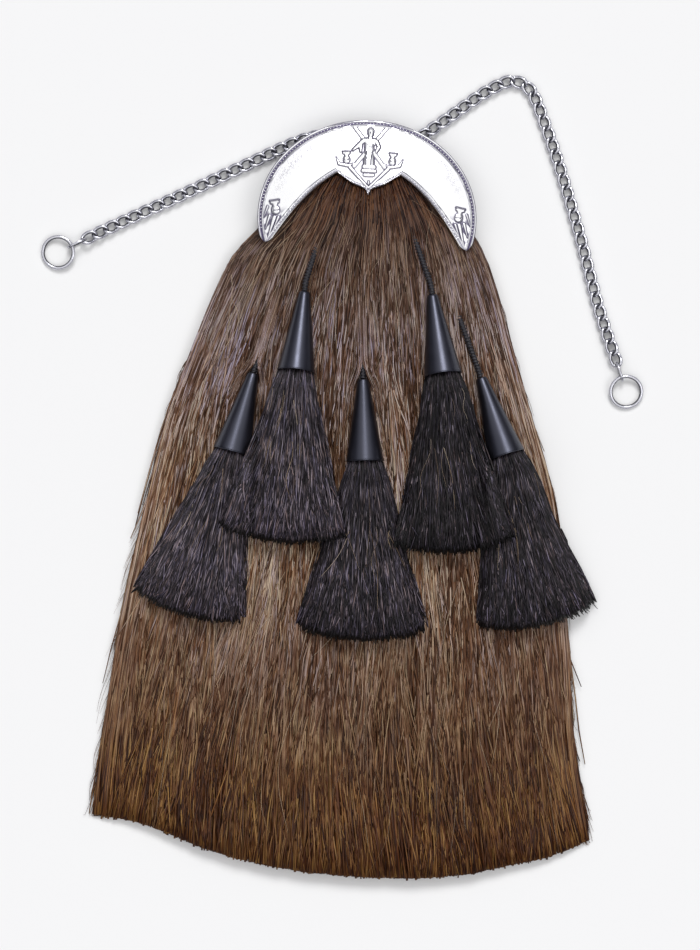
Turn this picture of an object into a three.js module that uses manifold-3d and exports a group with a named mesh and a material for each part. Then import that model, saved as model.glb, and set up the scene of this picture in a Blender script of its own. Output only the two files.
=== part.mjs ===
// Dress sporran lying on its back: a leather pouch fronted with long brown horsehair under a crescent
// metal cantle, five black tassels hung on cords, and a curb chain through two loops behind the cantle.
// Millimetres. +X is to the right of the front, +Y up towards the cantle, +Z out of the front.
import * as THREE from "three";
import { mergeVertices } from "three/addons/utils/BufferGeometryUtils.js";
import Module from "manifold-3d";

const GAP = 0.35; // clearance between neighbouring pieces

// Crescent cantle: outer rim on an ellipse, face domed over it, tips below the ellipse's centre.
const CANTLE = {
  centreX: 0,
  centreY: 35.6,
  turnDeg: -2.5,
  halfWidth: 75,
  halfHeight: 67,
  rimHeight: 17,
  dome: 11,
  sheet: 1.2,
  rimDepth: 8,
  tipRimDepth: 2.5,
  tipDeg: -16,
  peakDeg: 66,
  peakShare: 0.3,
  archSteps: 11,
  dropSteps: 5,
};
// Lower edge of the cantle, right half: the pointed drop in the middle, then one arch out to the tip.
const DROP_EDGE = [
  { x: 0, y: 14.4 },
  { x: 2.6, y: 19.2 },
  { x: 11.3, y: 22.8 },
  { x: 21.6, y: 29.5 },
];
const ARCH_EDGE = { peak: { x: 21.6, y: 29.5 }, pull: { x: 44, y: 16 }, tip: { x: 66, y: -20 } };
// Face from the lower edge (share 0) to the outer rim (share 1): raised borders and a plain field.
const FACE_PROFILE = [
  { share: 0, lift: 0.5 },
  { share: 0.06, lift: 0.9 },
  { share: 0.11, lift: 0 },
  { share: 0.5, lift: 0 },
  { share: 0.87, lift: 0 },
  { share: 0.91, lift: 1 },
  { share: 0.97, lift: 1 },
  { share: 1, lift: 0.2 },
];
// Relief on the face, placed from the ellipse's centre.
const FIGURE = { footY: 28, shoulderY: 51, headY: 57, headRadius: 3.6, robeRadius: 5.6, armLength: 11 };
const CROSS = { centreY: 46.5, length: 40, width: 3.4, height: 3, leanDeg: 53 };
const THISTLE = { bulb: 3.2, crown: 3.6, crownHeight: 4.5, leafLength: 9 };
const THISTLE_SPOTS = [
  { x: 15, y: 39, turnDeg: 0 },
  { x: 62, y: 1, turnDeg: 12 },
];
const LOOP = { x: 20, y: 53.5, wire: 1.6, halfSpan: 6, bottom: 0.2 };

// Leather pouch: flat back on the table, bulging front; half is the half width, rise the inner depth.
const LEATHER = 2;
const POUCH_EDGE = 5; // height of the sewn edge
const POUCH_BULGE = 3;
const POUCH_RING = 20;
const POUCH_SECTIONS = [
  { y: 78, half: 46, rise: 8 },
  { y: 62, half: 57, rise: 8.5 },
  { y: 35, half: 65, rise: 10.5 },
  { y: -10, half: 67, rise: 11 },
  { y: -50, half: 62, rise: 10 },
  { y: -78, half: 48, rise: 7 },
  { y: -92, half: 26, rise: 3.5 },
];

// Horsehair front: left and right outline and the crown's height, section by section down its length.
const HAIR = {
  edgeDrop: 0.75,
  edgePower: 2.5,
  across: 14,
  underFace: 2.4,
  cordCover: 1.2,
  freeY: 5,
  freeSlope: 0.4,
};
const HAIR_SECTIONS = [
  { y: 66, left: -40, right: 40, crown: 26 },
  { y: 48, left: -58, right: 56, crown: 27 },
  { y: 31, left: -72, right: 69, crown: 27 },
  { y: 14, left: -89, right: 79, crown: 27 },
  { y: -14, left: -104, right: 89, crown: 27 },
  { y: -55, left: -121, right: 100, crown: 26 },
  { y: -96, left: -136, right: 111, crown: 21.5 },
  { y: -151, left: -149, right: 126, crown: 16.5 },
  { y: -206, left: -161, right: 134, crown: 14 },
  { y: -260, left: -172, right: 138.5, crown: 13 },
  { y: -315, left: -181, right: 142, crown: 12 },
  { y: -345, left: -185, right: 145, crown: 11.5 },
];
// Trimmed lower end of the hair: an arc that is lowest at lowX.
const HEM = { left: -188, right: 154, lowX: 15, lowY: -417.3, curve: 0.00109, crown: 10 };

// Tassels: cup tip, lean of the cup and of its hair from straight down, hair length and end width.
const CUP = { height: 56, tipRadius: 3.8, baseRadius: 13, mouthRadius: 11.5, mouthDepth: 12, sides: 14 };
const TASSEL_HAIR = {
  root: 7,
  radius: 9.6,
  edge: 0.6,
  thickness: 14,
  sag: 9,
  settle: 45,
  steps: 9,
  across: 8,
};
const TASSELS = [
  { name: "outer_left", tipX: -77.5, tipY: -71, lean: -15.5, hairLean: -15.9, length: 112, width: 74 },
  { name: "outer_right", tipX: 78, tipY: -74, lean: 18, hairLean: 11, length: 118, width: 79 },
  { name: "middle", tipX: -2.7, tipY: -75.4, lean: 1.3, hairLean: -1, length: 116, width: 84 },
  { name: "left", tipX: -42.5, tipY: -15.8, lean: -6, hairLean: -5.2, length: 115, width: 81 },
  { name: "right", tipX: 44.5, tipY: -17.8, lean: 7.5, hairLean: 4.1, length: 114, width: 76 },
];
const LOWER_TASSELS = 3; // the first three lie on the hair, the others over them
// Cords: where each starts under the cantle, and the share of its run that is buried in the hair.
const CORD = { radius: 2.1, sides: 8, step: 9, lead: 7 };
const CORD_STARTS = {
  outer_left: { x: -33, y: 48, buried: 0.7 },
  outer_right: { x: 34, y: 46, buried: 0.62 },
  middle: { x: 0, y: 40, buried: 0.7 },
  left: { x: -22, y: 58, buried: 0.35 },
  right: { x: 20, y: 57, buried: 0.3 },
};

// Curb chain: twisted oval links; the route is the centreline on the table, lifted at the loops.
const LINK = {
  pitch: 8.5,
  halfLength: 5.3,
  halfWidth: 3.5,
  wire: 2,
  twist: 1.3,
  sides: 4,
  steps: 10,
  weld: 1.2,
};
const CHAIN_ROUTE = [
  { x: -191, y: 23, z: 4.1 },
  { x: -172, y: 32, z: 2.5 },
  { x: -128, y: 52, z: 2.5 },
  { x: -84, y: 72.5, z: 2.5 },
  { x: -46, y: 89.5, z: 2.8 },
  { x: -33, y: 92.5, z: 4.3 },
  { x: -17.6, y: 90, z: 4.5 },
  { x: 22.3, y: 88.2, z: 4.5 },
  { x: 33, y: 90, z: 4.3 },
  { x: 50, y: 101, z: 2.6 },
  { x: 86, y: 125.5, z: 2.5 },
  { x: 100, y: 130.5, z: 2.5 },
  { x: 111, y: 126, z: 2.5 },
  { x: 124, y: 97, z: 2.5 },
  { x: 144.5, y: 31.5, z: 2.5 },
  { x: 160, y: -27, z: 2.5 },
  { x: 171, y: -60.5, z: 4.1 },
];
const CHAIN_RUNS = [
  { name: "chain_left", until: 0.27 },
  { name: "chain_behind", until: 0.5 },
  { name: "chain_rise", until: 0.7 },
  { name: "chain_fall", until: 1 },
];
const JUMP_RING = { halfLength: 6.6, halfWidth: 3.8, wire: 1.6, sides: 6, steps: 14, fromLink: 4 };
const END_RING = { radius: 10.7, wire: 2.6, sides: 6, steps: 18, fromJump: 3.9 };

const FINISH = {
  brownHair: { color: 0x6b4a34, roughness: 0.55, metalness: 0 },
  blackHair: { color: 0x2a272b, roughness: 0.5, metalness: 0 },
  blackCup: { color: 0x2b2a2f, roughness: 0.35, metalness: 0.1 },
  blackCord: { color: 0x1b1a1d, roughness: 0.7, metalness: 0 },
  leather: { color: 0x2a1d16, roughness: 0.6, metalness: 0 },
  chrome: { color: 0xe8e8ec, roughness: 0.2, metalness: 1 },
};

const wasm = await Module();
wasm.setup();
const { lerp, smoothstep, degToRad } = THREE.MathUtils;
const UP = new THREE.Vector3(0, 0, 1);
const part = new THREE.Group();
part.name = "sporran_pouch";

// Geometry from points and triangle indices, with its faces turned outwards.
function closedGeometry(points, faces) {
  const geometry = new THREE.BufferGeometry().setFromPoints(points);
  geometry.setIndex(faces);
  let volume = 0;
  for (let i = 0; i < faces.length; i += 3) {
    const [a, b, c] = [points[faces[i]], points[faces[i + 1]], points[faces[i + 2]]];
    volume += a.dot(b.clone().cross(c));
  }
  if (volume < 0) geometry.setIndex(faces.slice().reverse());
  geometry.computeVertexNormals();
  return geometry;
}

// Triangles over one flat ring of points, wound the same way as the ring.
function capFaces(ring) {
  const normal = new THREE.Vector3();
  ring.forEach((point, i) => normal.add(point.clone().cross(ring[(i + 1) % ring.length])));
  const across = ring[1].clone().sub(ring[0]).normalize();
  const along = normal.normalize().clone().cross(across).normalize();
  const flat = ring.map((point) => new THREE.Vector2(point.dot(across), point.dot(along)));
  const turned = (a, b, c) => flat[b].clone().sub(flat[a]).cross(flat[c].clone().sub(flat[a])) < 0;
  const faces = THREE.ShapeUtils.triangulateShape(flat, []);
  return faces.map(([a, b, c]) => (turned(a, b, c) ? [a, c, b] : [a, b, c]));
}

// Closed solid through rings of equal point count, capped at the first and last ring.
function loftRings(rings) {
  const count = rings[0].length;
  const last = (rings.length - 1) * count;
  const faces = [];
  for (let start = 0; start < last; start += count) {
    for (let i = 0; i < count; i++) {
      const here = start + i;
      const next = start + ((i + 1) % count);
      faces.push(here, next, here + count, next, next + count, here + count);
    }
  }
  for (const [a, b, c] of capFaces(rings[0])) faces.push(c, b, a);
  for (const [a, b, c] of capFaces(rings[rings.length - 1])) faces.push(last + a, last + b, last + c);
  return closedGeometry(rings.flat(), faces);
}

function toSolid(geometry) {
  const bare = geometry.clone();
  bare.deleteAttribute("normal");
  bare.deleteAttribute("uv");
  const welded = mergeVertices(bare, 1e-4);
  const vertProperties = new Float32Array(welded.attributes.position.array);
  const triVerts = new Uint32Array(welded.index.array);
  return new wasm.Manifold(new wasm.Mesh({ numProp: 3, vertProperties, triVerts }));
}

function toGeometry(solid) {
  const { vertProperties, triVerts } = solid.getMesh();
  const geometry = new THREE.BufferGeometry();
  geometry.setAttribute("position", new THREE.BufferAttribute(vertProperties, 3));
  geometry.setIndex(new THREE.BufferAttribute(triVerts, 1));
  geometry.computeVertexNormals();
  return geometry;
}

function joined(geometries) {
  return toGeometry(geometries.map(toSolid).reduce((whole, piece) => whole.add(piece)));
}

function addPiece(parent, name, geometry, finish) {
  const mesh = new THREE.Mesh(geometry, new THREE.MeshStandardMaterial(finish));
  mesh.name = name;
  parent.add(mesh);
  return mesh;
}

// Row of a section table at a height y, with every column interpolated.
function rowAt(rows, y) {
  const found = rows.findIndex((row) => row.y <= y);
  const below = found < 0 ? rows.length - 1 : Math.max(found, 1);
  const [upper, lower] = [rows[below - 1], rows[below]];
  const share = THREE.MathUtils.clamp((upper.y - y) / (upper.y - lower.y), 0, 1);
  return Object.fromEntries(Object.keys(upper).map((key) => [key, lerp(upper[key], lower[key], share)]));
}

// Height of the cantle's face over its own centre lines; below the centre the dome runs on straight.
function faceHeight(x, y) {
  const across = (x / CANTLE.halfWidth) ** 2;
  const upward = (Math.max(y, 0) / CANTLE.halfHeight) ** 2;
  return CANTLE.rimHeight + CANTLE.dome * Math.max(1 - across - upward, 0);
}

// Ceiling of the hair: the underside of the cantle, which lets the hair rise again below the tips.
function hairCeiling(x, y) {
  const local = new THREE.Vector2(x - CANTLE.centreX, y - CANTLE.centreY);
  local.rotateAround(new THREE.Vector2(), degToRad(-CANTLE.turnDeg));
  const release = Math.max(HAIR.freeY - y, 0) * HAIR.freeSlope;
  return faceHeight(local.x, local.y) - HAIR.underFace + release;
}

function hairTop(x, y) {
  const row = rowAt(HAIR_SECTIONS, y);
  const middle = (row.left + row.right) / 2;
  const across = Math.min(Math.abs(x - middle) / (row.right - middle), 1);
  const height = row.crown * (1 - HAIR.edgeDrop * across ** HAIR.edgePower);
  return Math.min(height, hairCeiling(x, y));
}

function cantleLowerEdge(w) {
  const reach = Math.abs(w);
  const side = w < 0 ? -1 : 1;
  const drop = new THREE.SplineCurve(DROP_EDGE.map(({ x, y }) => new THREE.Vector2(x, y)));
  const ends = [ARCH_EDGE.peak, ARCH_EDGE.pull, ARCH_EDGE.tip].map(({ x, y }) => new THREE.Vector2(x, y));
  const arch = new THREE.QuadraticBezierCurve(...ends);
  const share = CANTLE.peakShare;
  const point = reach < share ? drop.getPoint(reach / share) : arch.getPoint((reach - share) / (1 - share));
  return point.setX(point.x * side);
}

function cantleOuterEdge(w) {
  const reach = Math.abs(w);
  const share = CANTLE.peakShare;
  const upper = lerp(90, CANTLE.peakDeg, reach / share);
  const lower = lerp(CANTLE.peakDeg, CANTLE.tipDeg, (reach - share) / (1 - share));
  const angle = degToRad(reach < share ? upper : lower);
  const side = w < 0 ? -1 : 1;
  return new THREE.Vector2(side * CANTLE.halfWidth * Math.cos(angle), CANTLE.halfHeight * Math.sin(angle));
}

// Section of the cantle's sheet from lower edge to rim, down the rim and back along the underside.
function cantleSection(w) {
  const lower = cantleLowerEdge(w);
  const outer = cantleOuterEdge(w);
  const sheetShare = CANTLE.sheet / lower.distanceTo(outer);
  const at = (share, height) => {
    const spot = lower.clone().lerp(outer, share);
    return new THREE.Vector3(spot.x, spot.y, height(spot.x, spot.y));
  };
  const depth = lerp(CANTLE.rimDepth, CANTLE.tipRimDepth, smoothstep(Math.abs(w), 0.45, 0.85));
  const rimBottom = CANTLE.rimHeight - depth;
  const underside = (x, y) => faceHeight(x, y) - CANTLE.sheet;
  return [
    ...FACE_PROFILE.map(({ share, lift }) => at(share, (x, y) => faceHeight(x, y) + lift)),
    at(1, () => rimBottom),
    at(1 - sheetShare, () => rimBottom),
    at(1 - sheetShare, underside),
    at(0.5, underside),
    at(0, underside),
  ];
}

// Places a relief piece on the face at x, y, tilted to the dome's slope there.
function onFace(piece, x, y, lift = 0) {
  const slopeX = (-2 * CANTLE.dome * x) / CANTLE.halfWidth ** 2;
  const slopeY = (-2 * CANTLE.dome * Math.max(y, 0)) / CANTLE.halfHeight ** 2;
  piece.rotateX(Math.atan(slopeY));
  piece.rotateY(-Math.atan(slopeX));
  return piece.translate(x, y, faceHeight(x, y) + lift);
}

function thistle({ x, y, turnDeg }, side) {
  const bulb = new THREE.SphereGeometry(THISTLE.bulb, 7, 5);
  const crown = new THREE.CylinderGeometry(THISTLE.crown, THISTLE.bulb * 0.6, THISTLE.crownHeight, 6);
  crown.translate(0, THISTLE.bulb + 1, 0);
  const leaves = [-1, 1].map((leafSide) => {
    const leaf = new THREE.ConeGeometry(2.2, THISTLE.leafLength, 5);
    leaf.rotateZ(degToRad(-62 * leafSide));
    return leaf.translate(leafSide * 4.5, -THISTLE.bulb - 0.5, 0);
  });
  return [bulb, crown, ...leaves].map((piece) => {
    piece.scale(1, 1, 0.5);
    piece.rotateZ(degToRad(turnDeg * side));
    return onFace(piece, side * x, y, 0.2);
  });
}

function standingFigure() {
  const height = FIGURE.shoulderY - FIGURE.footY;
  const robe = new THREE.CylinderGeometry(FIGURE.robeRadius * 0.62, FIGURE.robeRadius, height, 10);
  const neck = new THREE.CylinderGeometry(1.6, 2.4, FIGURE.headY - FIGURE.shoulderY + 2, 6);
  const head = new THREE.SphereGeometry(FIGURE.headRadius, 8, 6);
  const arms = [-1, 1].map((side) => {
    const arm = new THREE.CylinderGeometry(1.3, 1.6, FIGURE.armLength, 6);
    arm.scale(1, 1, 0.8).rotateZ(degToRad(52 * side));
    return onFace(arm, side * 5.5, FIGURE.shoulderY - 4, 0.4);
  });
  return [
    onFace(robe.scale(1, 1, 0.45), 0, FIGURE.footY + height / 2, 0.9),
    onFace(neck.scale(1, 1, 0.6), 0, (FIGURE.headY + FIGURE.shoulderY) / 2, 0.4),
    onFace(head.scale(0.8, 1, 0.7), 0, FIGURE.headY, 0.4),
    ...arms,
  ];
}

function diagonalCross() {
  return [-1, 1].map((side) => {
    const bar = new THREE.BoxGeometry(CROSS.length, CROSS.width, CROSS.height);
    return onFace(bar.rotateZ(degToRad(CROSS.leanDeg * side)), 0, CROSS.centreY);
  });
}

// Plain staple behind the cantle that the chain runs through: two legs and a bar under the chain.
function chainLoop(side) {
  const top = faceHeight(LOOP.x, LOOP.y) - CANTLE.sheet / 2;
  const bar = new THREE.BoxGeometry(LOOP.wire, 2 * LOOP.halfSpan + LOOP.wire, LOOP.wire);
  bar.translate(side * LOOP.x, LOOP.y, LOOP.bottom + LOOP.wire / 2);
  const legs = [-1, 1].map((end) => {
    const leg = new THREE.BoxGeometry(LOOP.wire, LOOP.wire, top - LOOP.bottom);
    return leg.translate(side * LOOP.x, LOOP.y + end * LOOP.halfSpan, (top + LOOP.bottom) / 2);
  });
  return [bar, ...legs];
}

function buildCantle() {
  const stations = [];
  for (let i = CANTLE.archSteps; i > 0; i--) {
    stations.push(CANTLE.peakShare + ((1 - CANTLE.peakShare) * i) / CANTLE.archSteps);
  }
  for (let i = CANTLE.dropSteps; i > 0; i--) stations.push((CANTLE.peakShare * i) / CANTLE.dropSteps);
  const across = [...stations.map((w) => -w), 0, ...stations.slice().reverse()];
  const pieces = [loftRings(across.map(cantleSection)), ...standingFigure(), ...diagonalCross()];
  for (const side of [-1, 1]) {
    pieces.push(...chainLoop(side));
    for (const spot of THISTLE_SPOTS) pieces.push(...thistle(spot, side));
  }
  const cantle = new THREE.Group();
  cantle.position.set(CANTLE.centreX, CANTLE.centreY, 0);
  cantle.rotation.z = degToRad(CANTLE.turnDeg);
  addPiece(cantle, "cantle", joined(pieces), FINISH.chrome);
  part.add(cantle);
}

// Closed outline across the pouch at a depth inside its outer form: flat below, bulged above.
function pouchRing({ y, half, rise }, inset, shiftY, floor) {
  const line = Array.from({ length: POUCH_RING / 2 }, (_, i) => (2 * i) / (POUCH_RING / 2 - 1) - 1);
  const below = line.map((across) => new THREE.Vector3(-across * (half - inset), y + shiftY, floor));
  const above = line.map((across) => {
    const bulge = POUCH_EDGE - inset + rise * (1 - Math.abs(across) ** POUCH_BULGE);
    return new THREE.Vector3(across * (half - inset), y + shiftY, bulge);
  });
  return [...below, ...above];
}

function buildPouch() {
  const upward = POUCH_SECTIONS.slice().reverse();
  const outer = upward.map((row) => pouchRing(row, 0, 0, 0));
  const inner = POUCH_SECTIONS.map((row, i) => {
    const closing = i === POUCH_SECTIONS.length - 1 ? LEATHER : 0;
    return pouchRing(row, LEATHER, closing, LEATHER);
  });
  addPiece(part, "pouch_bag", loftRings([...outer, ...inner]), FINISH.leather);
}

// Space the pouch takes under the hair, a gap wider than the pouch and open below.
function pouchSpace() {
  const rows = POUCH_SECTIONS.slice().reverse();
  return loftRings(rows.map((row, i) => pouchRing(row, -GAP, i === 0 ? -GAP : 0, -1)));
}

// Section across the hair at y; towards the hem its points move down to the hem's arc.
function hairRing(y, hemShare) {
  const row = rowAt(HAIR_SECTIONS, y);
  const crowns = lerp(row.crown, HEM.crown, hemShare) / row.crown;
  const top = [];
  for (let i = 0; i <= HAIR.across; i++) {
    const share = i / HAIR.across;
    const rowX = lerp(row.left, row.right, share);
    const x = lerp(rowX, lerp(HEM.left, HEM.right, share), hemShare);
    const hemY = HEM.lowY + HEM.curve * (x - HEM.lowX) ** 2;
    top.push(new THREE.Vector3(x, lerp(y, hemY, hemShare), hairTop(rowX, y) * crowns));
  }
  const floor = top.map((point) => point.clone().setZ(0));
  return [...top, ...floor.reverse()];
}

function buildHair(cordSpaces) {
  const rings = HAIR_SECTIONS.map(({ y }) => hairRing(y, 0));
  const lastY = HAIR_SECTIONS[HAIR_SECTIONS.length - 1].y;
  rings.push(hairRing(lastY, 0.5), hairRing(lastY, 1));
  const spaces = [...cordSpaces, pouchSpace()].map(toSolid);
  const hair = spaces.reduce((whole, space) => whole.subtract(space), toSolid(loftRings(rings)));
  addPiece(part, "hair_skirt", toGeometry(hair), FINISH.brownHair);
}

function downward(leanDeg) {
  const lean = degToRad(leanDeg);
  return new THREE.Vector2(Math.sin(lean), -Math.cos(lean));
}

// Axis of a cup that lies on the hair: the tip rests on it, and the base is as low as the hair allows.
function cupAxis(tassel) {
  const way = downward(tassel.lean);
  const tip = new THREE.Vector3(tassel.tipX, tassel.tipY, hairTop(tassel.tipX, tassel.tipY));
  tip.z += CUP.tipRadius + 2 * GAP;
  let baseZ = 0;
  for (const share of [0.25, 0.5, 0.75, 1]) {
    const spot = new THREE.Vector2(tip.x, tip.y).addScaledVector(way, CUP.height * share);
    const needed = hairTop(spot.x, spot.y) + lerp(CUP.tipRadius, CUP.baseRadius, share) + 2 * GAP;
    baseZ = Math.max(baseZ, tip.z + (needed - tip.z) / share);
  }
  const run = Math.sqrt(CUP.height ** 2 - (baseZ - tip.z) ** 2);
  const base = new THREE.Vector3(tip.x + way.x * run, tip.y + way.y * run, baseZ);
  return { tip, base };
}

function buildCup(tassel) {
  const { tip, base } = cupAxis(tassel);
  const profile = [
    [0, 0],
    [CUP.tipRadius, 0],
    [CUP.baseRadius, CUP.height],
    [CUP.mouthRadius, CUP.height],
    [CUP.mouthRadius - 0.3, CUP.height - CUP.mouthDepth],
    [0, CUP.height - CUP.mouthDepth],
  ].map(([radius, along]) => new THREE.Vector2(radius, along));
  const shell = new THREE.LatheGeometry(profile, CUP.sides);
  const cup = addPiece(part, `tassel_cone_${tassel.name}`, shell, FINISH.blackCup);
  cup.position.copy(tip);
  cup.quaternion.setFromUnitVectors(new THREE.Vector3(0, 1, 0), base.clone().sub(tip).normalize());
}

// One point of a tassel's hair: round in the cup, then settling as a flat fan on what lies below it.
function tasselPoint(tassel, axis, support, share, across, upper) {
  const { root, radius, edge, thickness, sag, settle } = TASSEL_HAIR;
  const along = lerp(-root, tassel.length, share) - sag * across ** 2 * share ** 2;
  const way = downward(lerp(tassel.lean, tassel.hairLean, smoothstep(along, 0, settle)));
  const half = lerp(radius, tassel.width / 2, Math.max(along, 0) / tassel.length);
  const x = axis.base.x + way.x * along - way.y * half * across;
  const y = axis.base.y + way.y * along + way.x * half * across;
  const slope = (axis.base.z - axis.tip.z) / CUP.height;
  const bulge = Math.sqrt(1 - across ** 2);
  const roundZ = axis.base.z + slope * Math.min(along, 0) + (upper ? 1 : -1) * (radius * bulge + edge);
  const lowZ = support(x, y) + 2 * GAP;
  const fanZ = upper ? lowZ + thickness * bulge + 2 * edge : lowZ;
  return new THREE.Vector3(x, y, lerp(roundZ, fanZ, smoothstep(along, 2, settle)));
}

function tasselHair(tassel, support) {
  const axis = cupAxis(tassel);
  const { steps, across } = TASSEL_HAIR;
  const rings = [];
  for (let step = 0; step <= steps; step++) {
    const line = (upper) =>
      Array.from({ length: across + 1 }, (_, i) =>
        tasselPoint(tassel, axis, support, step / steps, (2 * i) / across - 1, upper),
      );
    rings.push([...line(true), ...line(false).reverse()]);
  }
  return loftRings(rings);
}

// Top of a lower tassel's hair at x, y, or nothing where it isn't.
function tasselTop(tassel, x, y) {
  const axis = cupAxis(tassel);
  const way = downward(tassel.hairLean);
  const offset = new THREE.Vector2(x - axis.base.x, y - axis.base.y);
  const along = offset.dot(way);
  const half = lerp(TASSEL_HAIR.radius, tassel.width / 2, along / tassel.length);
  const across = (offset.y * way.x - offset.x * way.y) / half;
  if (along < 0 || along > tassel.length || Math.abs(across) > 1) return -Infinity;
  const share = (along + TASSEL_HAIR.root) / (tassel.length + TASSEL_HAIR.root);
  return tasselPoint(tassel, axis, hairTop, share, across, true).z;
}

// Highest of the hair and the lower tassels within a small reach of x, y.
function stackTop(x, y) {
  const reach = 5;
  let height = hairTop(x, y);
  for (const tassel of TASSELS.slice(0, LOWER_TASSELS)) {
    for (const stepX of [-1, 0, 1]) {
      for (const stepY of [-1, 0, 1]) {
        height = Math.max(height, tasselTop(tassel, x + stepX * reach, y + stepY * reach));
      }
    }
  }
  return height;
}

// Cord from under the cantle to the cup's tip: buried in the hair first, then lying on it.
function cordPath(tassel) {
  const { tip, base } = cupAxis(tassel);
  const start = CORD_STARTS[tassel.name];
  const back = tip.clone().sub(base).normalize();
  const lead = tip.clone().addScaledVector(back, CORD.lead);
  const points = [0, 0.2, 0.4, 0.6, 0.8].map((share) => {
    const x = lerp(start.x, lead.x, share);
    const y = lerp(start.y, lead.y, share);
    const buried = hairTop(x, y) - CORD.radius - HAIR.cordCover;
    return new THREE.Vector3(x, y, lerp(buried, lead.z, smoothstep(share, start.buried, 1)));
  });
  const end = tip.clone().addScaledVector(back, 2 * GAP);
  return new THREE.CatmullRomCurve3([...points, lead, end], false, "centripetal");
}

function cordTube(tassel, radius) {
  const path = cordPath(tassel);
  const round = new THREE.Shape().absarc(0, 0, radius, 0, 2 * Math.PI);
  const steps = Math.ceil(path.getLength() / CORD.step);
  return new THREE.ExtrudeGeometry(round, { extrudePath: path, steps, curveSegments: CORD.sides / 2 });
}

// Oval wire link along local X; the twist lifts its quarters up and down in turn.
function linkGeometry({ halfLength, halfWidth, wire, twist = 0, sides, steps }, frame) {
  const points = [];
  const faces = [];
  for (let step = 0; step < steps; step++) {
    const angle = (2 * Math.PI * step) / steps;
    const [cos, sin] = [Math.cos(angle), Math.sin(angle)];
    const centre = new THREE.Vector3(halfLength * cos, halfWidth * sin, twist * Math.sin(2 * angle));
    const way = new THREE.Vector3(-halfLength * sin, halfWidth * cos, 2 * twist * Math.cos(2 * angle));
    way.normalize();
    const outward = way.clone().cross(UP).normalize();
    const upward = outward.clone().cross(way);
    for (let side = 0; side < sides; side++) {
      const turn = (2 * Math.PI * side) / sides;
      const point = centre.clone().addScaledVector(outward, (wire / 2) * Math.cos(turn));
      points.push(point.addScaledVector(upward, (wire / 2) * Math.sin(turn)).applyMatrix4(frame));
      const here = step * sides + side;
      const beside = step * sides + ((side + 1) % sides);
      const count = steps * sides;
      const ahead = (here + sides) % count;
      faces.push(here, beside, ahead, beside, (beside + sides) % count, ahead);
    }
  }
  return closedGeometry(points, faces);
}

// Frame at a spot with local X along a direction, and local Z as near upright as that allows.
function frameAt(spot, way) {
  const side = UP.clone().cross(way).normalize();
  const upright = way.clone().cross(side);
  return new THREE.Matrix4().makeBasis(way, side, upright).setPosition(spot);
}

function chainFrames() {
  const points = CHAIN_ROUTE.map(({ x, y, z }) => new THREE.Vector3(x, y, z));
  const route = new THREE.CatmullRomCurve3(points, false, "centripetal");
  const count = Math.round(route.getLength() / LINK.pitch);
  const shares = Array.from({ length: count + 1 }, (_, i) => i / count);
  return shares.map((share) => frameAt(route.getPointAt(share), route.getTangentAt(share)));
}

// Small weld where a link's wire crosses its neighbour's.
function weldAt(frame) {
  const reach = LINK.pitch / 2;
  const sideways = LINK.halfWidth * Math.sqrt(1 - (reach / LINK.halfLength) ** 2);
  const weld = new THREE.BoxGeometry(LINK.weld, LINK.weld, 2 * LINK.twist);
  return weld.translate(reach, sideways, 0).applyMatrix4(frame);
}

function buildChain() {
  const frames = chainFrames();
  let first = 0;
  for (const { name, until } of CHAIN_RUNS) {
    const last = Math.round(until * (frames.length - 1));
    const run = frames.slice(first, last + 1);
    const links = run.map((frame) => linkGeometry(LINK, frame));
    const welds = run.slice(0, -1).map(weldAt);
    addPiece(part, name, joined([...links, ...welds]), FINISH.chrome);
    first = last + 1;
  }
  buildChainEnd("left", frames[0], -1);
  buildChainEnd("right", frames[frames.length - 1], 1);
}

// Ring on edge through the last link, and the end ring tilted up to it from the table.
function buildChainEnd(name, frame, side) {
  const way = new THREE.Vector3().setFromMatrixColumn(frame, 0).setZ(0).normalize().multiplyScalar(side);
  const spot = new THREE.Vector3().setFromMatrixPosition(frame);
  const jumpSpot = spot.clone().addScaledVector(way, LINK.halfLength + JUMP_RING.fromLink);
  jumpSpot.z = JUMP_RING.halfWidth + JUMP_RING.wire / 2;
  const onEdge = frameAt(jumpSpot, way).multiply(new THREE.Matrix4().makeRotationX(Math.PI / 2));
  addPiece(part, `jump_ring_${name}`, linkGeometry(JUMP_RING, onEdge), FINISH.chrome);
  const far = END_RING.wire / 2;
  const tilt = Math.asin((jumpSpot.z - far) / (2 * END_RING.radius));
  const reach = END_RING.fromJump + END_RING.radius * Math.cos(tilt);
  const ringSpot = jumpSpot.clone().addScaledVector(way, reach);
  ringSpot.z = (jumpSpot.z + far) / 2;
  const tilted = frameAt(ringSpot, way).multiply(new THREE.Matrix4().makeRotationY(tilt));
  const ring = { ...END_RING, halfLength: END_RING.radius, halfWidth: END_RING.radius };
  addPiece(part, `end_ring_${name}`, linkGeometry(ring, tilted), FINISH.chrome);
}

buildPouch();
buildHair(TASSELS.map((tassel) => cordTube(tassel, CORD.radius + GAP)));
buildCantle();
TASSELS.forEach((tassel, i) => {
  buildCup(tassel);
  const support = i < LOWER_TASSELS ? hairTop : stackTop;
  addPiece(part, `tassel_hair_${tassel.name}`, tasselHair(tassel, support), FINISH.blackHair);
  addPiece(part, `tassel_cord_${tassel.name}`, cordTube(tassel, CORD.radius), FINISH.blackCord);
});
buildChain();

export default part;
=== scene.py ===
"""Dress sporran with a long horsehair front, crescent metal cantle, five tassels and a curb chain.

It lies on its back on a pale floor. Row frame in metres: +X right, +Y up towards the cantle, +Z out of
the front. Sizes in this file are millimetres, and meshes are scaled to metres as they are made.
"""

import logging
import math
from contextlib import contextmanager
from dataclasses import dataclass, field, replace
from enum import Enum
from typing import Any, Iterator

import bpy
import numpy as np
from mathutils import Matrix, Vector


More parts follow.
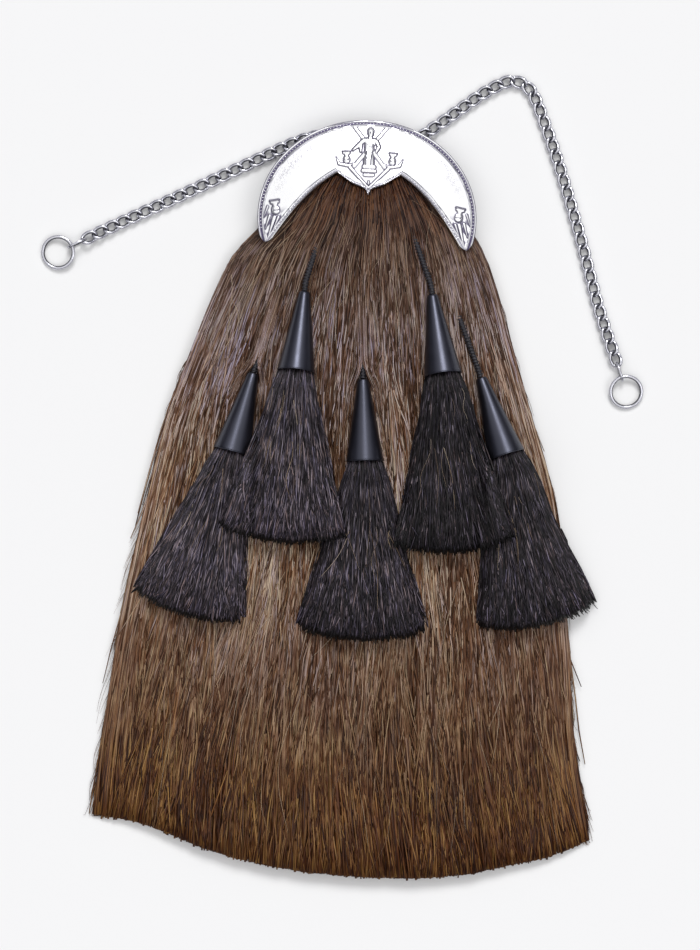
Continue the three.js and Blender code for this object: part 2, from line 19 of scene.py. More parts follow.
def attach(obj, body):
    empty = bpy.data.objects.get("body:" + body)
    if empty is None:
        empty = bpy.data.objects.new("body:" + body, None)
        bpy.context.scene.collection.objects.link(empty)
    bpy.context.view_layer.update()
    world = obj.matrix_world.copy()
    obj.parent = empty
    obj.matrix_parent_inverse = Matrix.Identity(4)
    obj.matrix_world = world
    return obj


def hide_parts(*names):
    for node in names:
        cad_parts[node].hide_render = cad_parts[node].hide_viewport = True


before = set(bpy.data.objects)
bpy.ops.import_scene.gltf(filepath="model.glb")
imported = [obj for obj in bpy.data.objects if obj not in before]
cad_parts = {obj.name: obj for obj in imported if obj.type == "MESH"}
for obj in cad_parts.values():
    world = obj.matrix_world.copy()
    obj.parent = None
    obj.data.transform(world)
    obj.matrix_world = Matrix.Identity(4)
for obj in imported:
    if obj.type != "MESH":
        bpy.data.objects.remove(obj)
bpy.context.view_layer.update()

Array = np.ndarray
Draws = np.random.Generator
Piece = bpy.types.Object
LOG = logging.getLogger("sporran")
MM = 0.001
STRAND_MAP = "OFBake"  # UV map of hair: U picks a lock's streaks, V runs from root to hem
MAP_EDGE = 0.001  # kept clear along the edges of the strand map
HAIR_U = 0.002  # half width of a single hair in the strand map
ANY_STREAK = (0.02, 0.98)  # U of strands that take their tones from anywhere in the strand map
LOWEST = 0.5  # least height of a loose strand's line over the table
NOISE_RANGE = (0.3, 0.7)  # where nearly all values of a noise texture lie
SEED = 1907


def linear(code: str) -> tuple[float, ...]:
    """Turns an sRGB hex colour such as "#a0b0c0" into linear red, green, blue and alpha."""
    parts = [int(code[i : i + 2], 16) / 255 for i in (1, 3, 5)]
    return tuple(c / 12.92 if c <= 0.04045 else ((c + 0.055) / 1.055) ** 2.4 for c in parts) + (1.0,)


def lerp(a: Any, b: Any, share: Any) -> Any:
    """Value between a and b at a share from 0 to 1."""
    return a + (b - a) * share


def smoothstep(x: Any, low: float, high: float) -> Any:
    """Smooth rise from 0 at low to 1 at high."""
    share = np.clip((np.asarray(x, dtype=float) - low) / (high - low), 0, 1)
    return share * share * (3 - 2 * share)


def hermite(x: Any, xs: Array, ys: Array) -> Array:
    """Smooth curve through table values, level outside the table.

    Args:
        x: Where the curve is read.
        xs: Rising table positions.
        ys: Table values.

    Returns:
        The curve's values at x.
    """
    slopes = np.gradient(ys, xs)
    x = np.clip(np.asarray(x, dtype=float), xs[0], xs[-1])
    i = np.clip(np.searchsorted(xs, x) - 1, 0, len(xs) - 2)
    width = xs[i + 1] - xs[i]
    s = (x - xs[i]) / width
    rest = (1 - s) ** 2 * ((1 + 2 * s) * ys[i] + s * width * slopes[i])
    return rest + s * s * ((3 - 2 * s) * ys[i + 1] + (s - 1) * width * slopes[i + 1])


def catmull_rom(points: list[tuple[float, float, float]], count: int = 1200) -> Array:
    """Points at equal distances along a centripetal Catmull-Rom curve.

    Args:
        points: The places the curve goes through.
        count: How many points to return.

    Returns:
        An array of count points.
    """
    knots = np.array(points, dtype=float)
    ends = [2 * knots[:1] - knots[1:2], knots, 2 * knots[-1:] - knots[-2:-1]]
    knots = np.concatenate(ends)
    shares = np.linspace(0, 1, 80)[:, None]
    dense = []
    for p0, p1, p2, p3 in zip(knots, knots[1:], knots[2:], knots[3:]):
        d0, d1, d2 = (math.sqrt(np.linalg.norm(b - a)) for a, b in ((p0, p1), (p1, p2), (p2, p3)))
        m1 = ((p1 - p0) / d0 - (p2 - p0) / (d0 + d1) + (p2 - p1) / d1) * d1
        m2 = ((p2 - p1) / d1 - (p3 - p1) / (d1 + d2) + (p3 - p2) / d2) * d1
        s = shares
        curve = (2 * s**3 - 3 * s**2 + 1) * p1 + (s**3 - 2 * s**2 + s) * m1
        dense.append(curve + (3 * s**2 - 2 * s**3) * p2 + (s**3 - s**2) * m2)
    line = np.concatenate(dense)
    run = np.concatenate([[0], np.cumsum(np.linalg.norm(np.diff(line, axis=0), axis=1))])
    spots = np.linspace(0, run[-1], count)
    return np.stack([np.interp(spots, run, line[:, k]) for k in range(3)], axis=1)


def unit(vectors: Array) -> Array:
    """Vectors scaled to length one along the last axis."""
    return vectors / np.maximum(np.linalg.norm(vectors, axis=-1, keepdims=True), 1e-9)


def mesh_object(name: str, points: Array, faces: list[Array], uvs: Array | None = None) -> Piece:
    """Makes a mesh object from arrays, turned outwards, smooth but for its end caps.

    Args:
        name: Name of the piece.
        points: Corner positions in millimetres, one row each.
        faces: Arrays of corner indices: the smooth faces first, then end caps.
        uvs: UV of every face corner in the same order, for the strand map.

    Returns:
        The new object, at the origin.
    """
    first = faces[0]
    a, b, c = (points[first[:, k]] for k in (0, 1, 2))
    inward = np.einsum("ij,ij->i", a - points.mean(axis=0), np.cross(b - a, c - a)).sum() < 0
    order = [f[:, ::-1] if inward else f for f in faces]
    mesh = bpy.data.meshes.new(name)
    mesh.vertices.add(len(points))
    mesh.vertices.foreach_set("co", (points * MM).astype(np.float32).ravel())
    corners = np.concatenate([f.ravel() for f in order]).astype(np.int32)
    sizes = np.concatenate([np.full(len(f), f.shape[1]) for f in order])
    mesh.loops.add(len(corners))
    mesh.loops.foreach_set("vertex_index", corners)
    mesh.polygons.add(len(sizes))
    mesh.polygons.foreach_set("loop_start", np.concatenate([[0], np.cumsum(sizes)[:-1]]).astype(np.int32))
    mesh.polygons.foreach_set("use_smooth", np.arange(len(sizes)) < len(order[0]))
    mesh.update(calc_edges=True)
    if uvs is not None:
        split = np.split(uvs, np.cumsum([f.size for f in faces])[:-1])
        shaped = [part.reshape(*f.shape, 2) for part, f in zip(split, faces)]
        turned = [part[:, ::-1] if inward else part for part in shaped]
        layer = mesh.uv_layers.new(name=STRAND_MAP)
        flat = np.concatenate([part.reshape(-1) for part in turned])
        layer.data.foreach_set("uv", flat.astype(np.float32))
    made = bpy.data.objects.new(name, mesh)
    bpy.context.collection.objects.link(made)
    return made


def ring_faces(rings: int, sides: int, closed: bool = False) -> Array:
    """Quads between neighbouring rings of corners that lie one after another.

    Args:
        rings: Number of rings.
        sides: Corners in each ring.
        closed: Whether the last ring joins the first.

    Returns:
        One row of four corner indices for each quad.
    """
    ring = np.arange(rings if closed else rings - 1)[:, None] * sides
    side = np.arange(sides)[None, :]
    ahead = (ring + sides) % (rings * sides)
    beside = (side + 1) % sides
    return np.stack([ring + side, ring + beside, ahead + beside, ahead + side], axis=-1).reshape(-1, 4)


def capped_tube(name: str, corners: Array, sides: int) -> Piece:
    """Closed tube from rings of corners that lie one after another.

    Args:
        name: Name of the piece.
        corners: Corner positions in millimetres, ring after ring.
        sides: Corners in each ring.

    Returns:
        The tube, with a cap on both ends.
    """
    rings = len(corners) // sides
    ends = np.arange(sides)
    caps = np.stack([ends[::-1], ends + (rings - 1) * sides])
    return mesh_object(name, corners, [ring_faces(rings, sides), caps])


def closed_mat(name: str, over: Array, under: Array, u: Array, v: Array) -> Piece:
    """Closed mat of hair between an upper and a lower sheet of points.

    Args:
        name: Name of the piece.
        over: Upper points, rows by columns by three, in millimetres.
        under: Lower points in the same order.
        u: U of every column in the strand map.
        v: V of every row.

    Returns:
        The mat.
    """
    rows, columns, _ = over.shape
    sides = 2 * columns
    rings = np.concatenate([over, under[:, ::-1]], axis=1)
    line = np.arange(columns - 1)
    end = np.stack([line, line + 1, sides - 2 - line, sides - 1 - line], axis=1)
    faces = np.concatenate([ring_faces(rows, sides), end[:, ::-1], end + (rows - 1) * sides])
    flat_u = np.broadcast_to(np.concatenate([u, u[::-1]])[None], (rows, sides)).reshape(-1)
    flat_v = np.broadcast_to(v[:, None], (rows, sides)).reshape(-1)
    uvs = np.stack([flat_u, flat_v], axis=1)[faces.ravel()]
    return mesh_object(name, rings.reshape(-1, 3), [faces], np.clip(uvs, MAP_EDGE, 1 - MAP_EDGE))


def corner_places(made: Piece) -> Array:
    """Positions of a mesh's corners, one row each."""
    flat = np.empty(len(made.data.vertices) * 3, dtype=np.float32)
    made.data.vertices.foreach_get("co", flat)
    return flat.reshape(-1, 3).astype(float)


def shape_plated(made: Piece, points: Array, recess: Array) -> None:
    """Moves a mesh's corners to points in millimetres, and stores at each its painted shade, which also
    dulls the plating.
    """
    made.data.vertices.foreach_set("co", (points * MM).astype(np.float32).ravel())
    made.data.update()
    layer = made.data.attributes.new("recess", "FLOAT", "POINT")
    layer.data.foreach_set("value", np.clip(recess, 0, 1).astype(np.float32))


def copy_at(source: Piece, place: Matrix) -> Piece:
    """Copies a piece, with a mesh of its own, to a place."""
    copy = bpy.data.objects.new(source.name, source.data.copy())
    bpy.context.collection.objects.link(copy)
    copy.data.transform(place)
    return copy


def only(made: Piece) -> None:
    """Makes one object the only selected one, and active."""
    bpy.ops.object.select_all(action="DESELECT")
    made.select_set(True)
    bpy.context.view_layer.objects.active = made


@contextmanager
def editing() -> Iterator[None]:
    """Edit mode on the active object, with everything selected."""
    bpy.ops.object.mode_set(mode="EDIT")
    bpy.ops.mesh.select_all(action="SELECT")
    yield
    bpy.ops.object.mode_set(mode="OBJECT")


def joined(name: str, pieces: list[Piece]) -> Piece:
    """Joins several objects into one mesh.

    Args:
        name: Name of the joined piece.
        pieces: The objects to join; the first takes the others in.

    Returns:
        The joined object.
    """
    only(pieces[0])
    for other in pieces[1:]:
        other.select_set(True)
    bpy.ops.object.join()
    pieces[0].name = name
    pieces[0].data.name = name
    return pieces[0]


def settle(made: Piece, material: bpy.types.Material, slot: str, *nodes: str) -> Piece:
    """Dresses a finished piece and ties it to the frame.

    Args:
        made: The finished piece.
        material: Its only material.
        slot: Material slot name; not used.
        nodes: CAD nodes that it stands for.

    Returns:
        The same piece.
    """
    made.data.materials.clear()
    made.data.materials.append(material)
    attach(made, "root")
    if nodes:
        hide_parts(*nodes)
    LOG.info("%s: %d faces", made.name, len(made.data.polygons))
    return made


def set_inputs(tree: bpy.types.NodeTree, node: bpy.types.Node, inputs: dict[Any, Any]) -> None:
    """Sets inputs of a node.

    Args:
        tree: The material's or world's node tree.
        node: The node.
        inputs: Values or other nodes' sockets, by the name or index of the input.
    """
    for key, value in inputs.items():
        if isinstance(value, bpy.types.NodeSocket):
            tree.links.new(value, node.inputs[key])
        else:
            node.inputs[key].default_value = value


def add_node(
    tree: bpy.types.NodeTree, kind: str, inputs: dict[Any, Any] | None = None, **settings: Any
) -> bpy.types.Node:
    """Adds a node with its settings and links.

    Args:
        tree: The material's or world's node tree.
        kind: Type name of the node.
        inputs: Values or other nodes' sockets, by the name or index of the input.
        settings: The node's own properties; stops sets a colour ramp's (place, hex) pairs.

    Returns:
        The new node.
    """
    made = tree.nodes.new(kind)
    for key, value in settings.items():
        if key != "stops":
            setattr(made, key, value)
            continue
        ramp = made.color_ramp.elements
        while len(ramp) < len(value):
            ramp.new(0.5)
        for element, (place, code) in zip(ramp, value):
            element.position = place
            element.color = linear(code)
    set_inputs(tree, made, inputs or {})
    return made


def new_material(name: str) -> tuple[bpy.types.Material, bpy.types.NodeTree, bpy.types.Node]:
    """Starts a material and returns it with its node tree and its surface shader."""
    material = bpy.data.materials.new(name)
    material.use_nodes = True
    return material, material.node_tree, material.node_tree.nodes["Principled BSDF"]


@dataclass(frozen=True)
class HorsehairFinish:
    """Combed horsehair: long streaks of several tones, soft gloss along the strands, and painted glints,
    sheen and shade in the colour.

    A strand takes its tones from its place in the strand map, so neighbours make up a lock. Real hairs are
    about 0.2 mm thick; streaks are drawn about 1.3 mm wide at the hem, because finer ones don't show at
    this distance.
    """

    name: str
    tones: tuple[tuple[float, str], ...]
    lengthwise: tuple[tuple[float, str], ...]  # multiplied in, from root to hem; it holds a painted sheen on the brown and a painted shadow at the black's end
    roughness: float
    tints: tuple[tuple[float, str], ...]  # of warm and cool locks, multiplied in
    lock_share: float = 0.8  # of whole locks in the tone
    glints: float = 40  # painted glints: how many along the whole map
    glint_share: float = 0.46  # of those painted glints in the tone
    painted_far_shade: float = 0.0  # painted shade: tone added towards the right end of the hem, as if lit from the left
    shift: float = 0.0  # tone added everywhere; on the tassels it is painted light and shade
    upper_contrast: float = 1.0  # of the tones near the root, against those near the hem
    fade: tuple[float, float] = (0.35, 0.65)  # where that contrast fades, from root to hem
    streaks: float = 270  # across the whole map
    ridge: float = 0.35  # strength of the bump
    ridge_mm: float = 0.4
    ior: float = 1.55
    specular: float = 0.3

    def material(self) -> bpy.types.Material:
        """Builds the material."""
        material, tree, shader = new_material(self.name)
        spot = add_node(tree, "ShaderNodeUVMap", uv_map=STRAND_MAP).outputs[0]
        parts = []
        # Streaks as long as a hair, shorter painted glints along them, whole locks, and warm or cool locks:
        # share of the streaks across, waves along and detail.
        for across, runs, detail in ((1, 7, 2), (1.1, self.glints, 1), (0.16, 2.6, 1), (0.3, 5, 2)):
            scale = (self.streaks * across, runs, 1)
            spread = add_node(tree, "ShaderNodeMapping", {"Vector": spot, "Scale": scale}).outputs[0]
            inputs = {"Vector": spread, "Scale": 1, "Detail": detail}
            parts.append(add_node(tree, "ShaderNodeTexNoise", inputs).outputs[0])
        tone = parts[0]
        across, place = add_node(tree, "ShaderNodeSeparateXYZ", {0: spot}).outputs[:2]
        # Painted shade towards the hem's right end, as if lit from the left: hem share squared times share
        # across.
        far = add_node(tree, "ShaderNodeMath", {0: place, 1: 2}, operation="POWER").outputs[0]
        far = add_node(tree, "ShaderNodeMath", {0: far, 1: across}, operation="MULTIPLY").outputs[0]
        shares = ((parts[1], self.glint_share), (parts[2], self.lock_share))
        terms = [(part, weight, -weight / 2) for part, weight in shares]
        for part, weight, base in [*terms, (far, self.painted_far_shade, self.shift)]:
            scaled = {0: part, 1: weight, 2: base}
            shift = add_node(tree, "ShaderNodeMath", scaled, operation="MULTIPLY_ADD").outputs[0]
            tone = add_node(tree, "ShaderNodeMath", {0: tone, 1: shift}, operation="ADD").outputs[0]
        fade = {0: place, 1: self.fade[0], 2: self.fade[1], 3: self.upper_contrast, 4: 1.0}
        contrast = add_node(tree, "ShaderNodeMapRange", fade).outputs[0]
        tone = add_node(tree, "ShaderNodeMath", {0: tone, 1: 0.5}, operation="SUBTRACT").outputs[0]
        scaled = {0: tone, 1: contrast, 2: 0.5}
        tone = add_node(tree, "ShaderNodeMath", scaled, operation="MULTIPLY_ADD").outputs[0]
        colour = add_node(tree, "ShaderNodeValToRGB", {0: tone}, stops=self.tones).outputs[0]
        tint = add_node(tree, "ShaderNodeValToRGB", {0: parts[3]}, stops=self.tints).outputs[0]
        mixed = {0: 1.0, 6: colour, 7: tint}
        colour = add_node(tree, "ShaderNodeMix", mixed, data_type="RGBA", blend_type="MULTIPLY").outputs[2]
        # The lengthwise colours carry painted sheen and painted shadow.
        shade = add_node(tree, "ShaderNodeValToRGB", {0: place}, stops=self.lengthwise).outputs[0]
        mixed = {0: 1.0, 6: colour, 7: shade}
        both = add_node(tree, "ShaderNodeMix", mixed, data_type="RGBA", blend_type="MULTIPLY")
        bump = {"Height": parts[0], "Strength": self.ridge, "Distance": self.ridge_mm * MM}
        normal = add_node(tree, "ShaderNodeBump", bump).outputs[0]
        surface = {"Base Color": both.outputs[2], "Normal": normal, "Roughness": self.roughness}
        set_inputs(tree, shader, surface | {"IOR": self.ior, "Specular IOR Level": self.specular})
        return material


@dataclass(frozen=True)
class PlatedFinish:
    """Chrome-plated pressed metal: bright and mirror-like, hammered ground, painted shade in recesses.

    A float attribute is 1 in the corners of the relief, where the colour is a painted grey shade and
    dullness adds roughness.
    """

    name: str
    bright: str
    painted_shade_colour: str
    roughness: float
    hammer_mm: float
    hammer_strength: float
    dullness: float = 0.0  # roughness added in recesses
    dent_mm: float = 0.3
    haze_mm: float = 6
    haze_gloss: tuple[float, float] = (0.7, 1.4)  # share of the roughness in clear and in hazy places

    def material(self) -> bpy.types.Material:
        """Builds the material."""
        material, tree, shader = new_material(self.name)
        place = add_node(tree, "ShaderNodeTexCoord").outputs["Object"]
        worn = {"Vector": place, "Scale": 1 / (self.haze_mm * MM), "Detail": 3}
        haze = add_node(tree, "ShaderNodeTexNoise", worn).outputs[0]
        # The attribute carries painted shade into the colour, and dullness into the roughness.
        recess = add_node(tree, "ShaderNodeAttribute", attribute_name="recess").outputs["Fac"]
        mixed = {0: recess, 6: linear(self.bright), 7: linear(self.painted_shade_colour)}
        colour = add_node(tree, "ShaderNodeMix", mixed, data_type="RGBA").outputs[2]
        clear, hazy = (self.roughness * share for share in self.haze_gloss)
        rough = {0: haze, 1: NOISE_RANGE[0], 2: NOISE_RANGE[1], 3: clear, 4: hazy}
        gloss = add_node(tree, "ShaderNodeMapRange", rough).outputs[0]
        dulled = {0: recess, 1: self.dullness, 2: gloss}
        gloss = add_node(tree, "ShaderNodeMath", dulled, operation="MULTIPLY_ADD").outputs[0]
        dents = {"Vector": place, "Scale": 1 / (self.hammer_mm * MM), "Detail": 1.5}
        hammered = add_node(tree, "ShaderNodeTexNoise", dents).outputs[0]
        bump = {"Height": hammered, "Strength": self.hammer_strength, "Distance": self.dent_mm * MM}
        normal = add_node(tree, "ShaderNodeBump", bump).outputs[0]
        surface = {"Base Color": colour, "Roughness": gloss, "Normal": normal, "Metallic": 1.0}
        set_inputs(tree, shader, surface)
        return material


@dataclass(frozen=True)
class SatinFinish:
    """Matt or satin coating over a made piece: an even colour, fine grain and slight handling marks."""

    name: str
    colours: tuple[tuple[float, str], ...]
    roughness: tuple[float, float]
    grain_mm: float
    bump_mm: float
    mottle_mm: float
    ior: float = 1.5
    gloss: str = "#ffffff"
    grain_strength: float = 0.5

    def material(self) -> bpy.types.Material:
        """Builds the material."""
        material, tree, shader = new_material(self.name)
        place = add_node(tree, "ShaderNodeTexCoord").outputs["Object"]
        mottle = {"Vector": place, "Scale": 1 / (self.mottle_mm * MM), "Detail": 4}
        cloud = add_node(tree, "ShaderNodeTexNoise", mottle).outputs[0]
        colour = add_node(tree, "ShaderNodeValToRGB", {0: cloud}, stops=self.colours).outputs[0]
        rough = {0: cloud, 1: NOISE_RANGE[0], 2: NOISE_RANGE[1], 3: self.roughness[0], 4: self.roughness[1]}
        gloss = add_node(tree, "ShaderNodeMapRange", rough).outputs[0]
        cells = {"Vector": place, "Scale": 1 / (self.grain_mm * MM)}
        grain = add_node(tree, "ShaderNodeTexVoronoi", cells).outputs["Distance"]
        bump = {"Height": grain, "Strength": self.grain_strength, "Distance": self.bump_mm * MM}
        normal = add_node(tree, "ShaderNodeBump", bump).outputs[0]
        surface = {"Base Color": colour, "Roughness": gloss, "Normal": normal, "IOR": self.ior}
        set_inputs(tree, shader, surface | {"Specular Tint": linear(self.gloss)})
        return material


class Finish(Enum):
    """The finishes of the pieces."""

    BROWN_HAIR = HorsehairFinish(
        "brown_horsehair_combed",
        ((0.31, "#432a12"), (0.43, "#694a2f"), (0.5, "#88705c"), (0.58, "#a2968a"), (0.71, "#c6c0ba")),
        # From root to hem: darker at the root, a painted sheen that is lighter and greyer in the upper
        # middle, warm brown towards the hem.
        (
            (0.0, "#7b553c"),
            (0.06, "#846149"),
            (0.13, "#b5a4a2"),
            (0.24, "#dcd4e8"),
            (0.45, "#fff4f2"),
            (0.7, "#d8c4b8"),
            (0.9, "#bc9864"),
            (1.0, "#be9459"),
        ),
        0.5,
        ((0.36, "#ffe8c8"), (0.46, "#f8f6e2"), (0.54, "#fff6f0"), (0.64, "#ecebfa")),
        painted_far_shade=-0.062,
        shift=0.006,
        upper_contrast=1.45,
    )
    BLACK_HAIR = HorsehairFinish(
        "black_horsehair_combed",
        ((0.35, "#080608"), (0.45, "#1d191d"), (0.52, "#39353a"), (0.59, "#5a555b"), (0.69, "#928c91")),
        # From root to hem: the dark last stop is a painted shadow under the cut end.
        ((0.0, "#cfcbd0"), (0.3, "#ffffff"), (0.972, "#f0eaee"), (0.99, "#3e3a3c")),
        0.5,
        ((0.36, "#ffe6d8"), (0.5, "#faf4fb"), (0.64, "#e0dcfb")),
        0.4,
        16,
    )
    PALE_HAIR = HorsehairFinish(
        "pale_brown_horsehair",
        ((0.3, "#5a4a3e"), (0.5, "#948272"), (0.7, "#d8ccc0")),
        ((0.0, "#c9b8a8"), (0.3, "#ffffff"), (1.0, "#f2e8d8")),
        0.45,
        ((0.36, "#fff2dc"), (0.5, "#fffaf0"), (0.64, "#f4ecf6")),
    )
    # The second colour of a plated finish is its painted shade.
    CANTLE = PlatedFinish("chromed_brass_pressed", "#fdfdff", "#544c6c", 0.22, 1.9, 0.12, 0.45)
    # The chain's second colour paints the shade in its links' holes.
    CHAIN = PlatedFinish("chromed_steel_wire", "#d2d2da", "#34343c", 0.2, 0.8, 0.08)
    CUP = SatinFinish(
        "black_painted_metal_satin",
        ((0.3, "#08080b"), (0.7, "#0f0e12")),
        (0.3, 0.36),
        0.6,
        0.02,
        9.0,
        1.72,
        "#dfe3ff",
    )
    CORD = SatinFinish(
        "black_cotton_cord_wrapped",
        ((0.3, "#151418"), (0.7, "#2e2c34")),
        (0.42, 0.55),
        0.35,
        0.08,
        2.0,
    )
    LEATHER = SatinFinish(
        "brown_leather_grained",
        ((0.3, "#2a1a12"), (0.7, "#3d281c")),
        (0.45, 0.62),
        1.1,
        0.18,
        14.0,
    )


def strands(
    name: str, spine: Array, half: Array, rise: Array, streak: Array, reach: Array, along: Array
) -> Piece:
    """Makes many hairs or locks at once, as slim three-sided tubes in one mesh.

    Args:
        name: Name of the piece.
        spine: Centre lines, strands by points by three, in millimetres.
        half: Half width at every point.
        rise: Height of the ridge over the spine at every point.
        streak: Each strand's U in the strand map.
        reach: Each strand's half width in U.
        along: V at every point.

    Returns:
        The new object.
    """
    count, steps, _ = spine.shape
    way = unit(np.gradient(spine, axis=1))
    side = unit(np.cross(np.array([0.0, 0.0, 1.0]), way))
    up = np.cross(way, side)
    wide, high = half[..., None], rise[..., None]
    corners = np.stack([spine - side * wide, spine + up * high, spine + side * wide], axis=2)
    points = corners.reshape(-1, 3)
    first = np.arange(count)[:, None] * steps * 3
    tube = ring_faces(steps, 3)[None] + first[..., None]
    roots = first + np.array([[2, 1, 0]])
    tips = first + (steps - 1) * 3 + np.array([[0, 1, 2]])
    faces = [tube.reshape(-1, 4), np.concatenate([roots, tips])]
    shares = np.array([-1.0, 0.0, 1.0])
    u = streak[:, None, None] + reach[:, None, None] * shares[None, None, :]
    u = np.broadcast_to(u, (count, steps, 3)).reshape(-1)
    v = np.broadcast_to(along[..., None], (count, steps, 3)).reshape(-1)
    order = np.concatenate([f.ravel() for f in faces])
    uvs = np.clip(np.stack([u[order], v[order]], axis=1), MAP_EDGE, 1 - MAP_EDGE)
    return mesh_object(name, points, faces, uvs)


@dataclass
class Cantle:
    """Crescent metal top: domed sheet with rim, borders, relief figure, crossed bars and thistles."""

    centre: tuple[float, float] = (0.0, 35.6)
    turn_deg: float = -2.5
    half_width: float = 75
    half_height: float = 67
    rim_height: float = 17
    dome: float = 11
    sheet: float = 1.2
    rim_depth: tuple[float, float] = (8, 2.5)
    tip_deg: float = -16
    peak_deg: float = 66
    peak_share: float = 0.3
    drop_edge: tuple = ((0, 14.4), (2.6, 19.2), (11.3, 22.8), (21.6, 29.5))
    arch_edge: tuple = ((21.6, 29.5), (44, 16), (66, -20))
    columns: int = 470
    rows: int = 84
    # Where the grid's second direction ends the face, rim wall, lip, inside of the wall and underside.
    grid_ends: tuple = (0.84, 0.9, 0.915, 0.95, 0.99)
    tip_share: float = 0.955
    rim_change: tuple[float, float] = (0.45, 0.85)  # where the rim grows thinner, from middle to tip
    # Painted shade on the rim wall and underside.
    wall_painted_shade: float = 0.55
    weld: float = 0.01  # corners closer than this are merged
    # Hammered band beside the figure: distance from the rim, half width, where it starts and ends to a side.
    hammered: tuple = (8.5, 4, (13, 22), (54, 68))
    smooth_deg: float = 50
    # Ridges along the rim and along the lower edge: distance, half width and height.
    rim_ridges: tuple = ((0.75, 0.7, 0.9), (3.8, 0.5, 0.5))
    edge_ridges: tuple = ((0.5, 0.5, 0.6), (2.9, 0.4, 0.4))
    # Painted shade in the channels beside them: distance, half width and darkness.
    rim_channels: tuple = ((0.0, 0.6, 1.0), (2.4, 1.0, 1.0), (4.4, 0.3, 0.6))
    edge_channels: tuple = ((1.75, 0.6, 0.75),)
    # Where the borders give way to the field, from the rim and from the lower edge.
    field_from_rim: tuple[float, float] = (3.6, 5.0)
    field_from_edge: tuple[float, float] = (2.6, 3.6)
    border_relief: float = 0.35  # least share of the relief's height that is left on the borders
    bead_pitch: float = 2.3
    bead_radius: float = 0.5
    bead_flatness: float = 0.8
    bead_lift: float = 0.1
    bead_lines: tuple[float, float] = (2.4, 1.75)  # distance from the rim and from the lower edge
    bead_reach: float = 0.93  # share of the crescent that has beads
    # Back loop: x, y, wire diameter, half span, lowest place, size of its bends and how far they cut in.
    loop: tuple = (20, 53.5, 1.6, 6, 0.2, 2.2, 0.7)
    loop_sides: int = 10
    relief_share: float = 0.6  # of a stroke's height that stands over the face
    outline: tuple[float, float] = (0.3, 0.1)  # painted shade line round a stroke: width, and more with its height
    # Relief in the middle, crossed bars, figure, its base and the drop: from x, y to x, y, half width at
    # both ends, height.
    relief: tuple = (
        (-11.6, 62.4, 10.4, 34.4, 1.4, 1.4, 1.1),
        (11.6, 62.4, -10.4, 34.4, 1.4, 1.4, 1.1),
        (-0.5, 50.4, -0.4, 37.2, 3.3, 4.0, 2.4),
        (-3.6, 52.6, 3.0, 52.4, 1.9, 1.9, 2.4),
        (-4.6, 52.4, -8.8, 48.0, 1.7, 1.5, 2.4),
        (-8.8, 48.0, -11.8, 45.4, 1.4, 0.8, 2.4),
        (-6.6, 49.0, -6.2, 44.8, 1.7, 0.9, 2.4),
        (4.2, 52.2, 6.2, 48.2, 1.6, 1.3, 2.4),
        (6.2, 48.2, 4.2, 44.6, 1.3, 1.1, 2.4),
        (-2.2, 45, -2.4, 36, 0.4, 0.5, 3.2),
        (1.2, 45, 1.0, 36, 0.4, 0.5, 3.2),
        (-1.4, 49.6, 1.4, 47.8, 0.4, 0.4, 3.2),
        (0, 56.0, 0, 54.0, 1.3, 1.6, 2.4),
        (0.1, 57.4, 0.1, 59.2, 2.2, 2.4, 3.2),
        (0.1, 57.6, 0.1, 58.6, 0.35, 0.25, 4.2),
        (-3.6, 34.2, 3.4, 34.2, 1.6, 1.6, 1.7),
        (-4.4, 31.4, 4.2, 31.4, 1.3, 1.3, 1.5),
        (-3.0, 28.6, 2.8, 28.6, 1.2, 1.2, 1.3),
        (0, 19.8, 13.0, 33.4, 0.9, 1.3, 1.6),
        (0, 19.8, -13.0, 33.4, 0.9, 1.3, 1.6),
        (0, 23.0, 0, 24.6, 1.2, 0.5, 1.5),
    )
    # One thistle about its bulb, same columns: bulb, neck, crown, the crown's edge and a line on the bulb.
    thistle: tuple = (
        (0, -0.4, 0, 0.4, 3.0, 2.9, 1.9),
        (0, 2.0, 0, 4.6, 1.3, 2.3, 1.9),
        (-2.2, 5.2, 2.2, 5.2, 1.1, 1.1, 1.9),
        (-3.0, 6.4, 3.0, 6.4, 0.6, 0.6, 2.6),
        (-1.9, -0.2, 1.9, -0.2, 0.35, 0.35, 2.8),
    )
    # Leaves beside the thistles on the boss, on the right half.
    boss_leaves: tuple = (
        (14.6, 34.6, 20.6, 35.6, 1.2, 1.1, 1.5),
        (20.6, 35.6, 22.8, 40.2, 1.1, 0.4, 1.5),
        (14.6, 34.4, 10.8, 36.2, 1.0, 0.5, 1.5),
    )
    thistle_spots: tuple = ((15.6, 38.8, 4, 0.86), (62.6, 2.6, 10, 1.0))
    # Leaves that fill the tip below the outer thistle.
    tip_leaves: tuple = (
        (63.4, -2.6, 66.8, -16.0, 1.5, 0.5, 1.3),
        (60.6, -2.4, 63.6, -10.6, 1.0, 0.4, 1.3),
        (66.6, -1.6, 69.2, -10.6, 1.1, 0.4, 1.3),
        (68.2, 4.6, 70.6, -2.4, 0.9, 0.4, 1.3),
    )

    def face_height(self, x: Array, y: Array) -> Array:
        """Height of the plain domed face over the cantle's own centre."""
        rise = 1 - (x / self.half_width) ** 2 - (np.maximum(y, 0) / self.half_height) ** 2
        return self.rim_height + self.dome * np.maximum(rise, 0)

    def to_local(self, x: Array, y: Array) -> tuple[Array, Array]:
        """Turns row-frame places into the cantle's own x and y."""
        angle = math.radians(-self.turn_deg)
        dx, dy = x - self.centre[0], y - self.centre[1]
        cos, sin = math.cos(angle), math.sin(angle)
        return dx * cos - dy * sin, dx * sin + dy * cos

